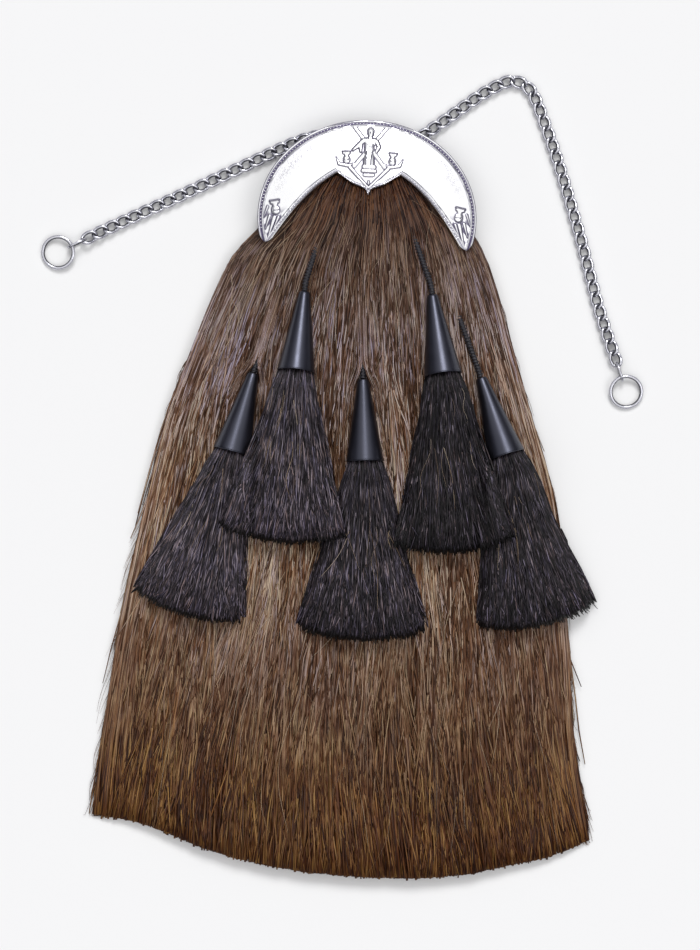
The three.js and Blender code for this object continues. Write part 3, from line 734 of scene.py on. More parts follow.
    def lower_edge(self, w: Array) -> Array:
        """Lower edge at w from -1 at the left tip to 1 at the right."""
        reach = np.abs(w)
        drop = np.array(self.drop_edge, dtype=float)
        knots = np.array([0.0, 1.0, 2.0, 3.0])
        s = np.minimum(reach / self.peak_share, 1) * 3
        inner = np.stack([hermite(s, knots, drop[:, k]) for k in (0, 1)], axis=-1)
        s = np.maximum((reach - self.peak_share) / (1 - self.peak_share), 0)[..., None]
        a, b, c = (np.array(p, dtype=float) for p in self.arch_edge)
        outer = (1 - s) ** 2 * a + 2 * s * (1 - s) * b + s**2 * c
        spot = np.where((reach < self.peak_share)[..., None], inner, outer)
        return spot * np.stack([np.sign(w), np.ones_like(w)], axis=-1)

    def outer_edge(self, w: Array) -> Array:
        """Outer edge on the ellipse at w from -1 to 1."""
        reach = np.abs(w)
        upper = lerp(90, self.peak_deg, reach / self.peak_share)
        lower = lerp(self.peak_deg, self.tip_deg, (reach - self.peak_share) / (1 - self.peak_share))
        angle = np.radians(np.where(reach < self.peak_share, upper, lower))
        x = np.sign(w) * self.half_width * np.cos(angle)
        return np.stack([x, self.half_height * np.sin(angle)], axis=-1)

    def relief_strokes(self) -> list[tuple]:
        """All relief strokes of both halves, in the cantle's own frame."""
        strokes = list(self.relief)
        for side in (-1, 1):
            for x0, y0, x1, y1, r0, r1, high in self.tip_leaves + self.boss_leaves:
                strokes.append((side * x0, y0, side * x1, y1, r0, r1, high))
            for x, y, turn, size in self.thistle_spots:
                cos, sin = math.cos(math.radians(turn)), math.sin(math.radians(turn))
                for x0, y0, x1, y1, r0, r1, high in self.thistle:
                    ends = []
                    for px, py in ((x0, y0), (x1, y1)):
                        px, py = px * size, py * size
                        ends += [side * (x + px * cos + py * sin), y + py * cos - px * sin]
                    strokes.append((*ends, r0 * size, r1 * size, high))
        return strokes

    def raised(self, x: Array, y: Array) -> tuple[Array, Array]:
        """Height of the relief and the painted shade round its strokes.

        Args:
            x: Places across in the cantle's frame.
            y: Places upward.

        Returns:
            Height over the face, and the painted shade from 0 to 1.
        """
        high, dark = np.zeros_like(x), np.zeros_like(x)
        for x0, y0, x1, y1, r0, r1, height in self.relief_strokes():
            dx, dy = x1 - x0, y1 - y0
            share = np.clip(((x - x0) * dx + (y - y0) * dy) / (dx * dx + dy * dy), 0, 1)
            far = np.hypot(x - x0 - dx * share, y - y0 - dy * share) / lerp(r0, r1, share)
            plateau = self.relief_share * height * np.clip(1 - far**4, 0, 1)
            width = self.outline[0] + self.outline[1] * height
            outline = np.exp(-(((far - 1) * lerp(r0, r1, share)) / width) ** 2)
            over = plateau > high
            dark = np.where(over, outline, np.maximum(dark, outline * (high < 0.2)))
            high = np.maximum(high, plateau)
        return high, dark

    def build(self) -> None:
        """Models the cantle with its beads and back loops, and dresses it."""
        sheet = self.build_sheet()
        beads = self.build_beads()
        loops = [self.build_loop(side) for side in (-1, 1)]
        whole = joined("cantle_crescent", [sheet, beads, *loops])
        angle = math.radians(self.turn_deg)
        place = Matrix.Translation((self.centre[0] * MM, self.centre[1] * MM, 0))
        whole.data.transform(place @ Matrix.Rotation(angle, 4, "Z"))
        only(whole)
        bpy.ops.object.shade_smooth_by_angle(angle=math.radians(self.smooth_deg))
        settle(whole, Finish.CANTLE.value.material(), "chromed_metal", "cantle")

    def build_sheet(self) -> Piece:
        """Shapes a grid into the closed crescent: face, rim wall and underside.

        Returns:
            The sheet, in the cantle's own frame.
        """
        bpy.ops.object.select_all(action="DESELECT")
        bpy.ops.mesh.primitive_grid_add(x_subdivisions=self.columns, y_subdivisions=self.rows, size=2)
        made = bpy.context.active_object
        flat = corner_places(made)
        w, turn = flat[:, 0], (flat[:, 1] + 1) / 2
        lower, outer = self.lower_edge(w), self.outer_edge(w)
        band = np.linalg.norm(outer - lower, axis=1)
        face_end, wall_end, lip_end, inside_end, under_end = self.grid_ends
        share = np.interp(turn, [0, *self.grid_ends, 1], [0, 1, 1, 1, 1, 0, 0])
        inset = np.interp(turn, [0, *self.grid_ends[1:], 1], [0, 0, 1, 1, 0.4, 0])
        tip = np.clip((np.abs(w) - self.tip_share) / (1 - self.tip_share), 0, 1)
        pinch = np.sqrt(np.clip(1 - tip**2, 0.02, 1))
        share = 0.5 + (share - 0.5) * pinch
        place = share - inset * self.sheet / band * np.sign(share - 0.5)
        spot = lower + (outer - lower) * place[:, None]
        x, y = spot[:, 0], spot[:, 1]
        base = self.face_height(x, y)
        from_rim, from_edge = (1 - share) * band, share * band
        border = self.border(from_rim, from_edge)
        high, dark = self.raised(x, y)
        field_share = smoothstep(from_rim, *self.field_from_rim)
        field_share = field_share * smoothstep(from_edge, *self.field_from_edge)
        top = base + border[0] + high * np.maximum(field_share, self.border_relief)
        depth = lerp(*self.rim_depth, smoothstep(np.abs(w), *self.rim_change))
        under = base - self.sheet
        rim_low = self.rim_height - depth
        z = np.where(turn <= face_end, top, lerp(base, rim_low, smoothstep(turn, face_end, wall_end)))
        z = np.where(turn > wall_end, rim_low, z)
        z = np.where(turn > lip_end, lerp(rim_low, under, smoothstep(turn, lip_end, inside_end)), z)
        closing = np.clip((turn - under_end) / (1 - under_end), 0, 1)
        z = np.where(turn > under_end, lerp(under, top, closing), z)
        # Painted shade: dark lines round the relief and in the border channels, darker spots of the field,
        # and the rim wall.
        dark = np.maximum(dark, self.flecks(x, y, from_rim, high)) * field_share
        recess = np.where(turn <= face_end, np.maximum(dark, border[1]), self.wall_painted_shade)
        shape_plated(made, np.stack([x, y, z], axis=1), recess)
        only(made)
        with editing():
            bpy.ops.mesh.remove_doubles(threshold=self.weld * MM)
            bpy.ops.mesh.select_all(action="DESELECT")
            bpy.ops.mesh.select_non_manifold()
            bpy.ops.mesh.fill()
            bpy.ops.mesh.select_all(action="SELECT")
            bpy.ops.mesh.normals_make_consistent(inside=False)
        return made

    def flecks(self, x: Array, y: Array, from_rim: Array, high: Array) -> Array:
        """Darker spots of the field: hammer marks beside the figure, and the ground between the tips'
        leaves.

        Args:
            x: Places across in the cantle's frame.
            y: Places upward.
            from_rim: Distance from the outer edge.
            high: Height of the relief.

        Returns:
            How much darker, from 0 to 1.
        """
        away, half, first, last = self.hammered
        aside = np.abs(x)
        # Crossed waves of about 2.5 mm make the hammer marks, and of about 6 mm the ground at the tips.
        marks = np.sin(2.3 * x + 1.6 * np.sin(1.9 * y)) * np.sin(2.7 * y + 1.4 * np.sin(1.5 * x))
        zone = np.exp(-(((from_rim - away) / half) ** 2)) * smoothstep(aside, *first)
        band = 0.85 * smoothstep(marks, 0.3, 0.7) * zone * (1 - smoothstep(aside, *last))
        spots = np.sin(1.2 * aside + 0.6 * y) + np.sin(0.95 * y + 0.4 * aside)
        ground = smoothstep(-y, -6, 2) * smoothstep(spots, -0.3, 0.5) * (high < 0.3)
        return np.maximum(band, 0.9 * ground)

    def border(self, from_rim: Array, from_edge: Array) -> tuple[Array, Array]:
        """Raised borders along the rim and the lower edge, with painted shade in the channel for the
        pellets.

        Args:
            from_rim: Distance from the outer edge.
            from_edge: Distance from the lower edge.

        Returns:
            Height over the face, and the painted shade from 0 to 1.
        """
        high, dark = np.zeros_like(from_rim), np.zeros_like(from_rim)
        for away, ridges in ((from_rim, self.rim_ridges), (from_edge, self.edge_ridges)):
            for middle, half, rise in ridges:
                high += rise * np.sqrt(np.clip(1 - ((away - middle) / half) ** 2, 0, 1))
        for away, channels in ((from_rim, self.rim_channels), (from_edge, self.edge_channels)):
            for middle, half, share in channels:
                dark = np.maximum(dark, share * np.exp(-(((away - middle) / half) ** 4)))
        return high, dark

    def build_beads(self) -> Piece:
        """Rows of small pellets inside the rim and along the lower edge, modelled once and copied.

        Returns:
            All beads as one object.
        """
        bpy.ops.object.select_all(action="DESELECT")
        bpy.ops.mesh.primitive_ico_sphere_add(subdivisions=1, radius=self.bead_radius * MM)
        bead = bpy.context.active_object
        with editing():
            bpy.ops.transform.resize(value=(1, 1, self.bead_flatness))
        w = np.linspace(-self.bead_reach, self.bead_reach, 4000)
        lower, outer = self.lower_edge(w), self.outer_edge(w)
        way = unit(outer - lower)
        copies = []
        for line in (outer - way * self.bead_lines[0], lower + way * self.bead_lines[1]):
            run = np.concatenate([[0], np.cumsum(np.linalg.norm(np.diff(line, axis=0), axis=1))])
            spots = np.arange(0, run[-1], self.bead_pitch)
            x, y = np.interp(spots, run, line[:, 0]), np.interp(spots, run, line[:, 1])
            for px, py, pz in zip(x, y, self.face_height(x, y) + self.bead_lift):
                copies.append(copy_at(bead, Matrix.Translation((px * MM, py * MM, pz * MM))))
        bpy.data.objects.remove(bead)
        return joined("beads", copies)

    def build_loop(self, side: int) -> Piece:
        """Plain wire staple behind the cantle that the chain runs through.

        Args:
            side: -1 for the left loop, 1 for the right.

        Returns:
            The staple, in the cantle's own frame.
        """
        x, y, wire, span, bottom, bend, cut = self.loop
        top = float(self.face_height(np.array(x), np.array(y))) - self.sheet / 2
        low, leg = bottom + wire / 2, y - span
        route = [(leg, top), (leg, low + bend), (leg + cut, low + cut), (leg + bend, low)]
        route += [(2 * y - py, pz) for py, pz in route[::-1]]
        centres = catmull_rom([(side * x, py, pz) for py, pz in route], 60)
        corners = tube_points(centres, np.full((len(centres), self.loop_sides), wire / 2))
        return capped_tube("loop", corners, self.loop_sides)


def tube_points(centres: Array, radius: Array) -> Array:
    """Corners of rings set square to a line, turned as little as possible from ring to ring.

    Args:
        centres: Ring centres in millimetres.
        radius: Radius at every ring and corner.

    Returns:
        All corners, ring after ring.
    """
    way = unit(np.gradient(centres, axis=0))
    side = np.zeros_like(way)
    spare = np.array([1.0, 0.0, 0.0]) if abs(way[0, 0]) < 0.8 else np.array([0.0, 1.0, 0.0])
    side[0] = unit(np.cross(way[0], spare))
    for i in range(1, len(way)):
        side[i] = unit(side[i - 1] - way[i] * np.dot(side[i - 1], way[i]))
    over = np.cross(way, side)
    angle = np.linspace(0, 2 * math.pi, radius.shape[1], endpoint=False)
    ring = side[:, None] * np.cos(angle)[None, :, None] + over[:, None] * np.sin(angle)[None, :, None]
    return (centres[:, None] + ring * radius[..., None]).reshape(-1, 3)


@dataclass
class Pouch:
    """Plain leather bag behind the hair, open at the top, with a stitched mouth."""

    leather: float = 2.0
    edge: float = 5.0
    power: float = 3.0
    # y, half width and rise of the front, from the mouth to the bottom.
    sections: tuple = (
        (78, 46, 8),
        (62, 57, 8.5),
        (35, 65, 10.5),
        (-10, 67, 11),
        (-50, 62, 10),
        (-78, 48, 7),
        (-92, 26, 3.5),
    )
    around: int = 72
    along: int = 48
    lip: float = 0.6
    smooth_deg: float = 40
    # Stitches along the mouth: height of their line, pitch, thread radius, length, rounding and lift.
    stitch_y: float = 73.5
    stitch_pitch: float = 4.2
    stitch_radius: float = 0.45
    stitch_length: float = 2.6
    stitch_rounding: float = 0.3
    stitch_lift: float = 0.25
    stitch_ends: tuple[float, float] = (4, 3)  # kept clear at the left and right side

    def row(self, y: Array) -> tuple[Array, Array]:
        """Half width and rise of the front at y."""
        table = np.array(self.sections[::-1], dtype=float)
        return np.interp(y, table[:, 0], table[:, 1]), np.interp(y, table[:, 0], table[:, 2])

    def front(self, x: Array, y: Array) -> Array:
        """Height of the bag's front at x and y, and nothing outside its outline."""
        half, rise = self.row(y)
        across = np.clip(np.abs(x) / half, 0, 1)
        inside = (np.abs(x) < half + 1) & (y > self.sections[-1][0] - 1) & (y < self.sections[0][0])
        return np.where(inside, self.edge + rise * (1 - across**self.power), 0.0)

    def ring(self, y: Array, inset: float) -> Array:
        """Closed outlines across the bag, one for each y, at a depth inside the outer form."""
        half, rise = self.row(y)
        across = np.cos(np.linspace(0, math.pi, self.around // 2))
        wide = (half - inset)[:, None] * across[None]
        top = self.edge - inset + rise[:, None] * (1 - np.abs(across[None]) ** self.power)
        line_y = np.broadcast_to(y[:, None], wide.shape)
        over = np.stack([wide, line_y, top], axis=-1)
        below = np.stack([-wide, line_y, np.full_like(wide, inset)], axis=-1)
        return np.concatenate([over, below], axis=1)

    def build(self) -> None:
        """Models the bag with its stitches and dresses it."""
        y = np.linspace(self.sections[-1][0], self.sections[0][0], self.along)
        outer = self.ring(y, 0.0)
        inner = self.ring(y[::-1], self.leather)
        inner[-1, :, 1] += self.leather
        lip = (outer[-1:] + inner[:1]) / 2 + np.array([0, self.lip, 0])
        rings = np.concatenate([outer, lip, inner])
        bag = capped_tube("bag", rings.reshape(-1, 3), rings.shape[1])
        whole = joined("pouch_leather_bag", [bag, *self.build_stitches()])
        only(whole)
        bpy.ops.object.shade_smooth_by_angle(angle=math.radians(self.smooth_deg))
        settle(whole, Finish.LEATHER.value.material(), "pouch_leather", "pouch_bag")

    def build_stitches(self) -> list[Piece]:
        """Saddle stitches round the mouth, modelled once and copied.

        Returns:
            One object for each stitch.
        """
        bpy.ops.object.select_all(action="DESELECT")
        radius, depth = self.stitch_radius * MM, self.stitch_length * MM
        bpy.ops.mesh.primitive_cylinder_add(vertices=8, radius=radius, depth=depth)
        stitch = bpy.context.active_object
        with editing():
            bpy.ops.mesh.bevel(offset=self.stitch_rounding * MM, segments=2)
            bpy.ops.transform.rotate(value=math.pi / 2, orient_axis="Y", center_override=(0, 0, 0))
        y = np.array(self.stitch_y)
        half, rise = (float(v) for v in self.row(y))
        made = []
        for x in np.arange(-half + self.stitch_ends[0], half - self.stitch_ends[1], self.stitch_pitch):
            slope = -self.power * rise * np.sign(x) * abs(x / half) ** (self.power - 1) / half
            z = float(self.front(np.array(x), y)) + self.stitch_lift
            place = Matrix.Translation((x * MM, self.stitch_y * MM, z * MM))
            made.append(copy_at(stitch, place @ Matrix.Rotation(-math.atan(slope), 4, "Y")))
        bpy.data.objects.remove(stitch)
        return made


@dataclass(frozen=True)
class StrandKind:
    """One kind of strand in the horsehair front."""

    count: int
    steps: int  # points on each strand
    lift: tuple[float, float]  # lowest and highest place over the combed surface
    wander: float  # size of each strand's own sideways wave
    tilt: float  # spread of the strands' own sideways slope
    waves: tuple[float, float]  # fewest and most waves from root to hem
    half: tuple[float, float]  # smallest and largest half width
    starts: tuple = ()  # share of them that starts near the root, its range, and the others' range

    def begin(self, rng: Draws) -> Array:
        """Draws where each strand starts, from root to hem."""
        share, near, far = self.starts
        rooted = rng.random(self.count) < share
        return np.where(rooted, rng.uniform(*near, self.count), rng.uniform(*far, self.count))

    def shares(self) -> Array:
        """Shares from 0 to 1 at the points of a strand, as one row."""
        return np.linspace(0, 1, self.steps)[None]

    def lifts(self, rng: Draws) -> Array:
        """Draws each strand's height over the combed surface."""
        return rng.uniform(*self.lift, self.count)

    def halves(self, rng: Draws) -> Array:
        """Draws each strand's half width."""
        return rng.uniform(*self.half, (self.count, 1))


@dataclass
class HairFront:
    """Long brown horsehair front: a combed core under locks, single hairs and strays."""

    cantle: Cantle
    pouch: Pouch
    # y, left edge, right edge and crown height, from the root to the start of the hem.
    sections: tuple = (
        (66, -40, 40, 26),
        (48, -58, 56, 27),
        (31, -72, 69, 27),
        (14, -89, 79, 27),
        (-14, -104, 89, 27),
        (-55, -121, 100, 26),
        (-96, -136, 111, 21.5),
        (-151, -149, 126, 16.5),
        (-206, -161, 134, 14),
        (-260, -172, 138.5, 13),
        (-315, -181, 142, 12),
        (-345, -185, 145, 11.5),
    )
    corners: tuple[float, float] = (-188, 153)
    hem_crown: float = 10
    # The cut hem from the left corner to the right: x, y.
    hem: tuple = (
        (-188, -374.3),
        (-161, -378.3),
        (-136, -386.3),
        (-112, -396.3),
        (-87, -404.1),
        (-50, -411.8),
        (0, -416.6),
        (36, -417.4),
        (73, -413.8),
        (98, -408.3),
        (123, -403.3),
        (153, -391.8),
    )
    edge_drop: float = 0.75
    edge_power: float = 2.5
    under_face: float = 2.4
    free_y: float = 5
    free_slope: float = 0.4
    run: float = 480
    core_grid: tuple[int, int] = (84, 96)
    core_depth: float = 1.7
    locks: StrandKind = StrandKind(
        2000, 12, (-1.7, 0.2), 3.0, 0.02, (0.8, 5.5), (0.9, 1.7), (0.5, (0, 0.06), (0.05, 0.7))
    )
    edge_hairs: StrandKind = StrandKind(
        200, 26, (-0.3, 1.0), 2.5, 0.0, (2.5, 9.5), (0.3, 0.7), (0.6, (0, 0.04), (0.04, 0.5))
    )
    hem_ends: StrandKind = StrandKind(1000, 4, (-0.6, -0.6), 1.0, 0.02, (0.8, 5.5), (0.4, 0.8))
    # Hairs of one half of the front.
    hairs: StrandKind = StrandKind(
        3950, 7, (-0.8, 1.0), 4.6, 0.1, (2.5, 9.5), (0.36, 0.62), (0.12, (0, 0.05), (0.03, 0.93))
    )
    whole_locks: float = 0.8  # share of the locks that reach the hem
    ragged: float = 0.002  # spread of the cut ends, of the run
    lock_map_width: float = 260  # width across that takes up the strand map, for locks
    # Locks that strands gather into: count, pull, where it starts and is full, sway and crown.
    clumps: tuple = ((110, 0.3, 0.05, 0.35, 1.2, 0.3), (19, 0.1, 0.12, 0.6, 3.0, 0.7))
    clump_reach: float = 1.05
    swaying: tuple[float, float] = (0.06, 0.4)  # where those locks begin to sway, from root to hem
    bob: float = 0.45  # rise and fall of a strand
    # Where the lower hair is combed aside: how far, place across and spread.
    combed_aside: tuple = ((-12, -0.42, 0.3), (7, 0.55, 0.25))
    tucked: tuple[float, float] = (0.02, 0.2)  # where strands come free of their roots, from root to hem
    covered: tuple[float, float] = (0.06, 0.14)  # where they come out from under the cantle
    room: tuple[float, float] = (0.5, 9.0)  # most height over the surface before and after that
    pale_count: int = 150
    # Loose hairs at an edge: side, count, first place along, reach outwards, run and half thickness.
    stray_groups: tuple = (
        (-1, 130, 0.46, 9.0, 0.12, 0.13),
        (1, 60, 0.3, 4.0, 0.07, 0.13),
        (-1, 240, 0.25, 2.6, 0.05, 0.2),
        (1, 250, 0.18, 2.6, 0.05, 0.2),
        (1, 44, 0.89, 8.0, 0.09, 0.28),
        (-1, 60, 0.9, 5.0, 0.08, 0.28),
    )
    # Hairs over a cord: where they start and end along the cup's axis from its tip, and half thickness.
    cover_from: tuple[float, float] = (-62, -40)
    cover_to: tuple[float, float] = (8, 30)
    cover_half: float = 0.26
    cover_front: float = 130  # half width of the front where the cords lie

    def __post_init__(self) -> None:
        """Adds the hem's corners to the outline and keeps the tables with rising y."""
        left, right = self.corners
        self.hem_table = tuple(np.array(self.hem, dtype=float).T)
        low_y = float(self.hem_table[1].min()) - 5
        rows = np.array(self.sections[::-1], dtype=float)
        corners = [self.hem_table[1][0], self.hem_table[1][-1]]
        slide = [(x - row) / (y - rows[0, 0]) for x, row, y in zip((left, right), rows[0, 1:3], corners)]
        ends = [x + k * (low_y - c) for x, k, c in zip((left, right), slide, corners)]
        self.left_table = (np.r_[low_y, corners[0], rows[:, 0]], np.r_[ends[0], left, rows[:, 1]])
        self.right_table = (np.r_[low_y, corners[1], rows[:, 0]], np.r_[ends[1], right, rows[:, 2]])
        self.crown_table = (np.r_[low_y, rows[:, 0]], np.r_[self.hem_crown, rows[:, 3]])
        self.rng = np.random.default_rng(SEED)

    def edges(self, y: Array) -> tuple[Array, Array]:
        """Left and right outline at y."""
        return hermite(y, *self.left_table), hermite(y, *self.right_table)

    def top(self, x: Array, y: Array) -> Array:
        """Height of the combed surface at x and y."""
        left, right = self.edges(y)
        middle = (left + right) / 2
        across = np.minimum(np.abs(x - middle) / (right - middle), 1)
        high = hermite(y, *self.crown_table) * (1 - self.edge_drop * across**self.edge_power)
        ceiling = self.cantle.face_height(*self.cantle.to_local(x, y)) - self.under_face
        return np.minimum(high, ceiling + np.maximum(self.free_y - y, 0) * self.free_slope)

    def flow(self, u: Array, t: Array) -> tuple[Array, Array]:
        """Place of a strand at share u across (-1 to 1) and t from root to hem (0 to 1)."""
        hem_y = hermite(lerp(*self.corners, (u + 1) / 2), *self.hem_table)
        y = lerp(self.sections[0][0], hem_y, t)
        side_left, side_right = self.edges(y)
        return lerp(side_left, side_right, (u + 1) / 2), y

    def clumped(self, u: Array, t: Array) -> tuple[Array, Array, Array]:
        """Gathers strands into locks of two sizes that sway a little.

        Args:
            u: Each strand's place across at the root.
            t: Share from root to hem at every point.

        Returns:
            u at every point, sideways sway in millimetres, and height of the lock's crown.
        """
        shared = np.random.default_rng(SEED + 1)
        across = np.broadcast_to(u[:, None], t.shape).copy()
        sway, crown = np.zeros_like(t), np.zeros_like(t)
        ends = (-self.clump_reach, self.clump_reach)
        # Locks stand a little off an even spacing, and sway about once on their way to the hem.
        for count, pull, low, high, swing, dome in self.clumps:
            pitch = 2 * self.clump_reach / (count - 1)
            middles = np.linspace(*ends, count) + shared.uniform(-0.3, 0.3, count) * pitch
            phase, pace = shared.uniform(0, 1, count), shared.uniform(0.7, 1.6, count)
            nearest = np.abs(u[:, None] - middles[None]).argmin(axis=1)
            middle = middles[nearest][:, None]
            crown += dome * (1 - np.clip(np.abs(across - middle) / (pitch * 0.6), 0, 1) ** 2) - dome / 2
            across += (middle - across) * pull * smoothstep(t, low, high)
            wave = np.sin(2 * math.pi * (pace[nearest][:, None] * t + phase[nearest][:, None]))
            sway += swing * wave * smoothstep(t, *self.swaying)
        return across, sway, crown

    def paths(self, u: Array, t: Array, lift: Array, kind: StrandKind, rng: Draws) -> Array:
        """Centre lines of strands on the combed surface.

        Args:
            u: Each strand's place across at the root.
            t: Share from root to hem at every point.
            lift: Each strand's height over the surface.
            kind: How the strands wave and lean.
            rng: Source of the wander.

        Returns:
            Points of every strand.
        """
        count = len(u)
        across, sway, crown = self.clumped(u, t)
        lean = rng.normal(0, kind.tilt, (count, 1)) * smoothstep(t[:, :1], *self.tucked)
        phase, pace = rng.uniform(0, 1, (2, count, 1)), rng.uniform(*kind.waves, (2, count, 1))
        own = np.sin(2 * math.pi * (pace[0] * t + phase[0]))
        own = own * rng.uniform(0.4, 1, (count, 1)) / np.sqrt(pace[0])
        # Strands near the outline stray less.
        calm = np.clip(4 * (1.04 - np.abs(across)), 0.2, 1)
        x, y = self.flow(across, t)
        drift = np.zeros_like(t)
        for far, place, spread in self.combed_aside:
            drift += far * np.exp(-(((across - place) / spread) ** 2))
        slope = lean * (t - t[:, :1]) * self.run
        shift = sway + kind.wander * own + slope + drift * smoothstep(t, 0.5, 1.0)
        shift = shift * calm * smoothstep(t, *self.tucked)
        # A strand that is shifted ends on the hem at its new place.
        hem = [hermite(line[:, -1:], *self.hem_table) for line in (x, x + shift)]
        x, y = x + shift, y + (hem[1] - hem[0]) * smoothstep(t, 0.6, 1.0)
        bob = np.sin(2 * math.pi * (pace[1] * 2 * t + phase[1])) * self.bob
        level = (lift[:, None] + crown + bob) * calm
        level = np.minimum(level, lerp(*self.room, smoothstep(t, *self.covered)))
        z = np.maximum(self.top(x, y) + level, 0.6)
        return np.stack([x, y, z], axis=-1)

    def build(self, tassels: list["Tassel"]) -> None:
        """Models and dresses core, locks and hairs, with strays over the tassels."""
        material = Finish.BROWN_HAIR.value.material()
        settle(self.build_core(), material, "brown_horsehair", "hair_skirt")
        settle(self.build_locks(), material, "brown_horsehair")
        for name, left, right in (("hair_strands_left", -1, 0), ("hair_strands_right", 0, 1)):
            settle(self.build_hairs(name, left, right), material, "brown_horsehair")
        settle(self.build_strays(tassels), material, "brown_horsehair")
        settle(self.build_pale(tassels), Finish.PALE_HAIR.value.material(), "brown_horsehair")

    def build_core(self) -> Piece:
        """Closed mat of hair under the strands, hollowed where the bag lies.

        Returns:
            The core.
        """
        rows, columns = self.core_grid
        t = np.linspace(0, 0.996, rows)[:, None]
        u = np.linspace(-0.99, 0.99, columns)[None, :]
        t, u = np.broadcast_arrays(t, u)
        x, y = self.flow(u, t)
        # Two sizes of ripple like combed locks, level at the outline.
        ripple = 0.5 * np.sin(u * 130 + 3 * np.sin(t * 7)) + 0.35 * np.sin(u * 61 + 5 * t)
        ripple = ripple * np.minimum((1 - np.abs(u)) * 8, 1)
        top = np.maximum(self.top(x, y) - self.core_depth + ripple, 0.8)
        # The underside clears the bag and the table.
        floor = np.minimum(np.maximum(self.pouch.front(x, y) + 0.6, 0.3), top - 0.4)
        over, under = (np.stack([x, y, z], axis=-1) for z in (top, floor))
        return closed_mat("hair_core", over, under, np.linspace(0, 1, columns), t[:, 0])

    def build_locks(self) -> Piece:
        """Flat locks of a few millimetres that cover the core.

        Returns:
            All locks as one object.
        """
        rng, kind, count = self.rng, self.locks, self.locks.count
        u = rng.uniform(-0.99, 0.99, count)
        start = kind.begin(rng)
        whole = rng.random(count) < self.whole_locks
        cut = 1 - np.abs(rng.normal(0, self.ragged, count))
        stop = np.where(whole, cut, rng.uniform(0.8, 1, count))
        stop = np.maximum(stop, start + 0.2)
        t = lerp(start[:, None], stop[:, None], kind.shares())
        spine = self.paths(u, t, kind.lifts(rng), kind, rng)
        # Locks begin as a point and are slimmer near the root.
        pointed = lerp(0.25, 1.0, smoothstep(kind.shares(), 0, 0.08))
        half = kind.halves(rng) * pointed * lerp(0.55, 1.0, smoothstep(t, 0.05, 0.45))
        rise = np.full_like(half, 0.4) * rng.uniform(0.6, 1.3, (count, 1))
        reach = half[:, kind.steps // 2 - 1] / self.lock_map_width
        locks = strands("hair_locks", spine, half, rise, self.shade(u, rng), reach, t)
        return joined("hair_locks", [locks, self.build_edges(), self.build_hem()])

    def build_edges(self) -> Piece:
        """Hairs along both edges, with many points so that the outline curves smoothly.

        Returns:
            All edge hairs as one object.
        """
        rng, kind, count = self.rng, self.edge_hairs, self.edge_hairs.count
        u = rng.choice([-1, 1], count) * rng.uniform(0.94, 1.0, count)
        start = kind.begin(rng)
        stop = 1 - np.abs(rng.normal(0, 0.003, (count, 1)))
        # Points crowd near the root, where the outline curves most.
        t = lerp(start[:, None], stop, kind.shares() ** 1.3)
        spine = self.paths(u, t, kind.lifts(rng), kind, rng)
        half = np.broadcast_to(kind.halves(rng), t.shape)
        streak = rng.uniform(*ANY_STREAK, count)
        return strands("edges", spine, half, half, streak, np.full(count, HAIR_U), t)

    def build_hem(self) -> Piece:
        """Hair ends that fill the thickness of the cut hem.

        Returns:
            All ends as one object.
        """
        rng, kind, count = self.rng, self.hem_ends, self.hem_ends.count
        u = rng.uniform(-0.985, 0.985, count)
        stop = 1 + rng.normal(-0.001, self.ragged, (count, 1))
        t = lerp(0.95, stop, kind.shares())
        spine = self.paths(u, t, np.full(count, kind.lift[0]), kind, rng)
        spine[..., 2] = np.maximum(spine[..., 2] * rng.uniform(0.1, 1.0, (count, 1)), LOWEST)
        half = np.broadcast_to(kind.halves(rng), t.shape)
        return strands("hem", spine, half, half * 0.8, self.shade(u, rng), np.full(count, HAIR_U), t)

    @staticmethod
    def shade(u: Array, rng: Draws) -> Array:
        """Each strand's U in the strand map: near its place across, so neighbours share a tone."""
        return np.clip((u + 1) / 2 + rng.normal(0, 0.016, len(u)), 0.01, 0.99)

    def build_hairs(self, name: str, left: float, right: float) -> Piece:
        """Single hairs on and between the locks.

        Args:
            name: Name of the piece.
            left: First place across.
            right: Last place across.

        Returns:
            All hairs between left and right as one object.
        """
        rng, kind, count = self.rng, self.hairs, self.hairs.count
        u = rng.uniform(left, right, count)
        start = kind.begin(rng)
        stop = start + rng.uniform(0.1, 0.32, count)
        stop = np.minimum(stop, 1 - np.abs(rng.normal(0, self.ragged, count)))
        t = lerp(start[:, None], stop[:, None], kind.shares())
        spine = self.paths(u, t, kind.lifts(rng), kind, rng)
        half = kind.halves(rng) * (1 - 0.4 * smoothstep(kind.shares(), 0.85, 1))
        return strands(name, spine, half, half * 0.5, self.shade(u, rng), np.full(count, HAIR_U / 2), t)

    def build_strays(self, tassels: list["Tassel"]) -> Piece:
        """Loose hairs outside the edges, and hairs that lie over the cords of the lower tassels.

        Args:
            tassels: The tassels, for the hairs over their cords.

        Returns:
            All strays as one object.
        """
        rng, steps = self.rng, 9
        pieces = []
        share = np.linspace(0, 1, steps)[None]
        for side, count, first, reach, run, thick in self.stray_groups:
            u = side * rng.uniform(0.95, 1.0, count)
            start = rng.uniform(first, 0.92, count)
            stop = start + rng.uniform(0.6, 1.3, count) * run
            t = lerp(start[:, None], stop[:, None], share)
            x, y = self.flow(np.broadcast_to(u[:, None], t.shape), np.minimum(t, 1.0))
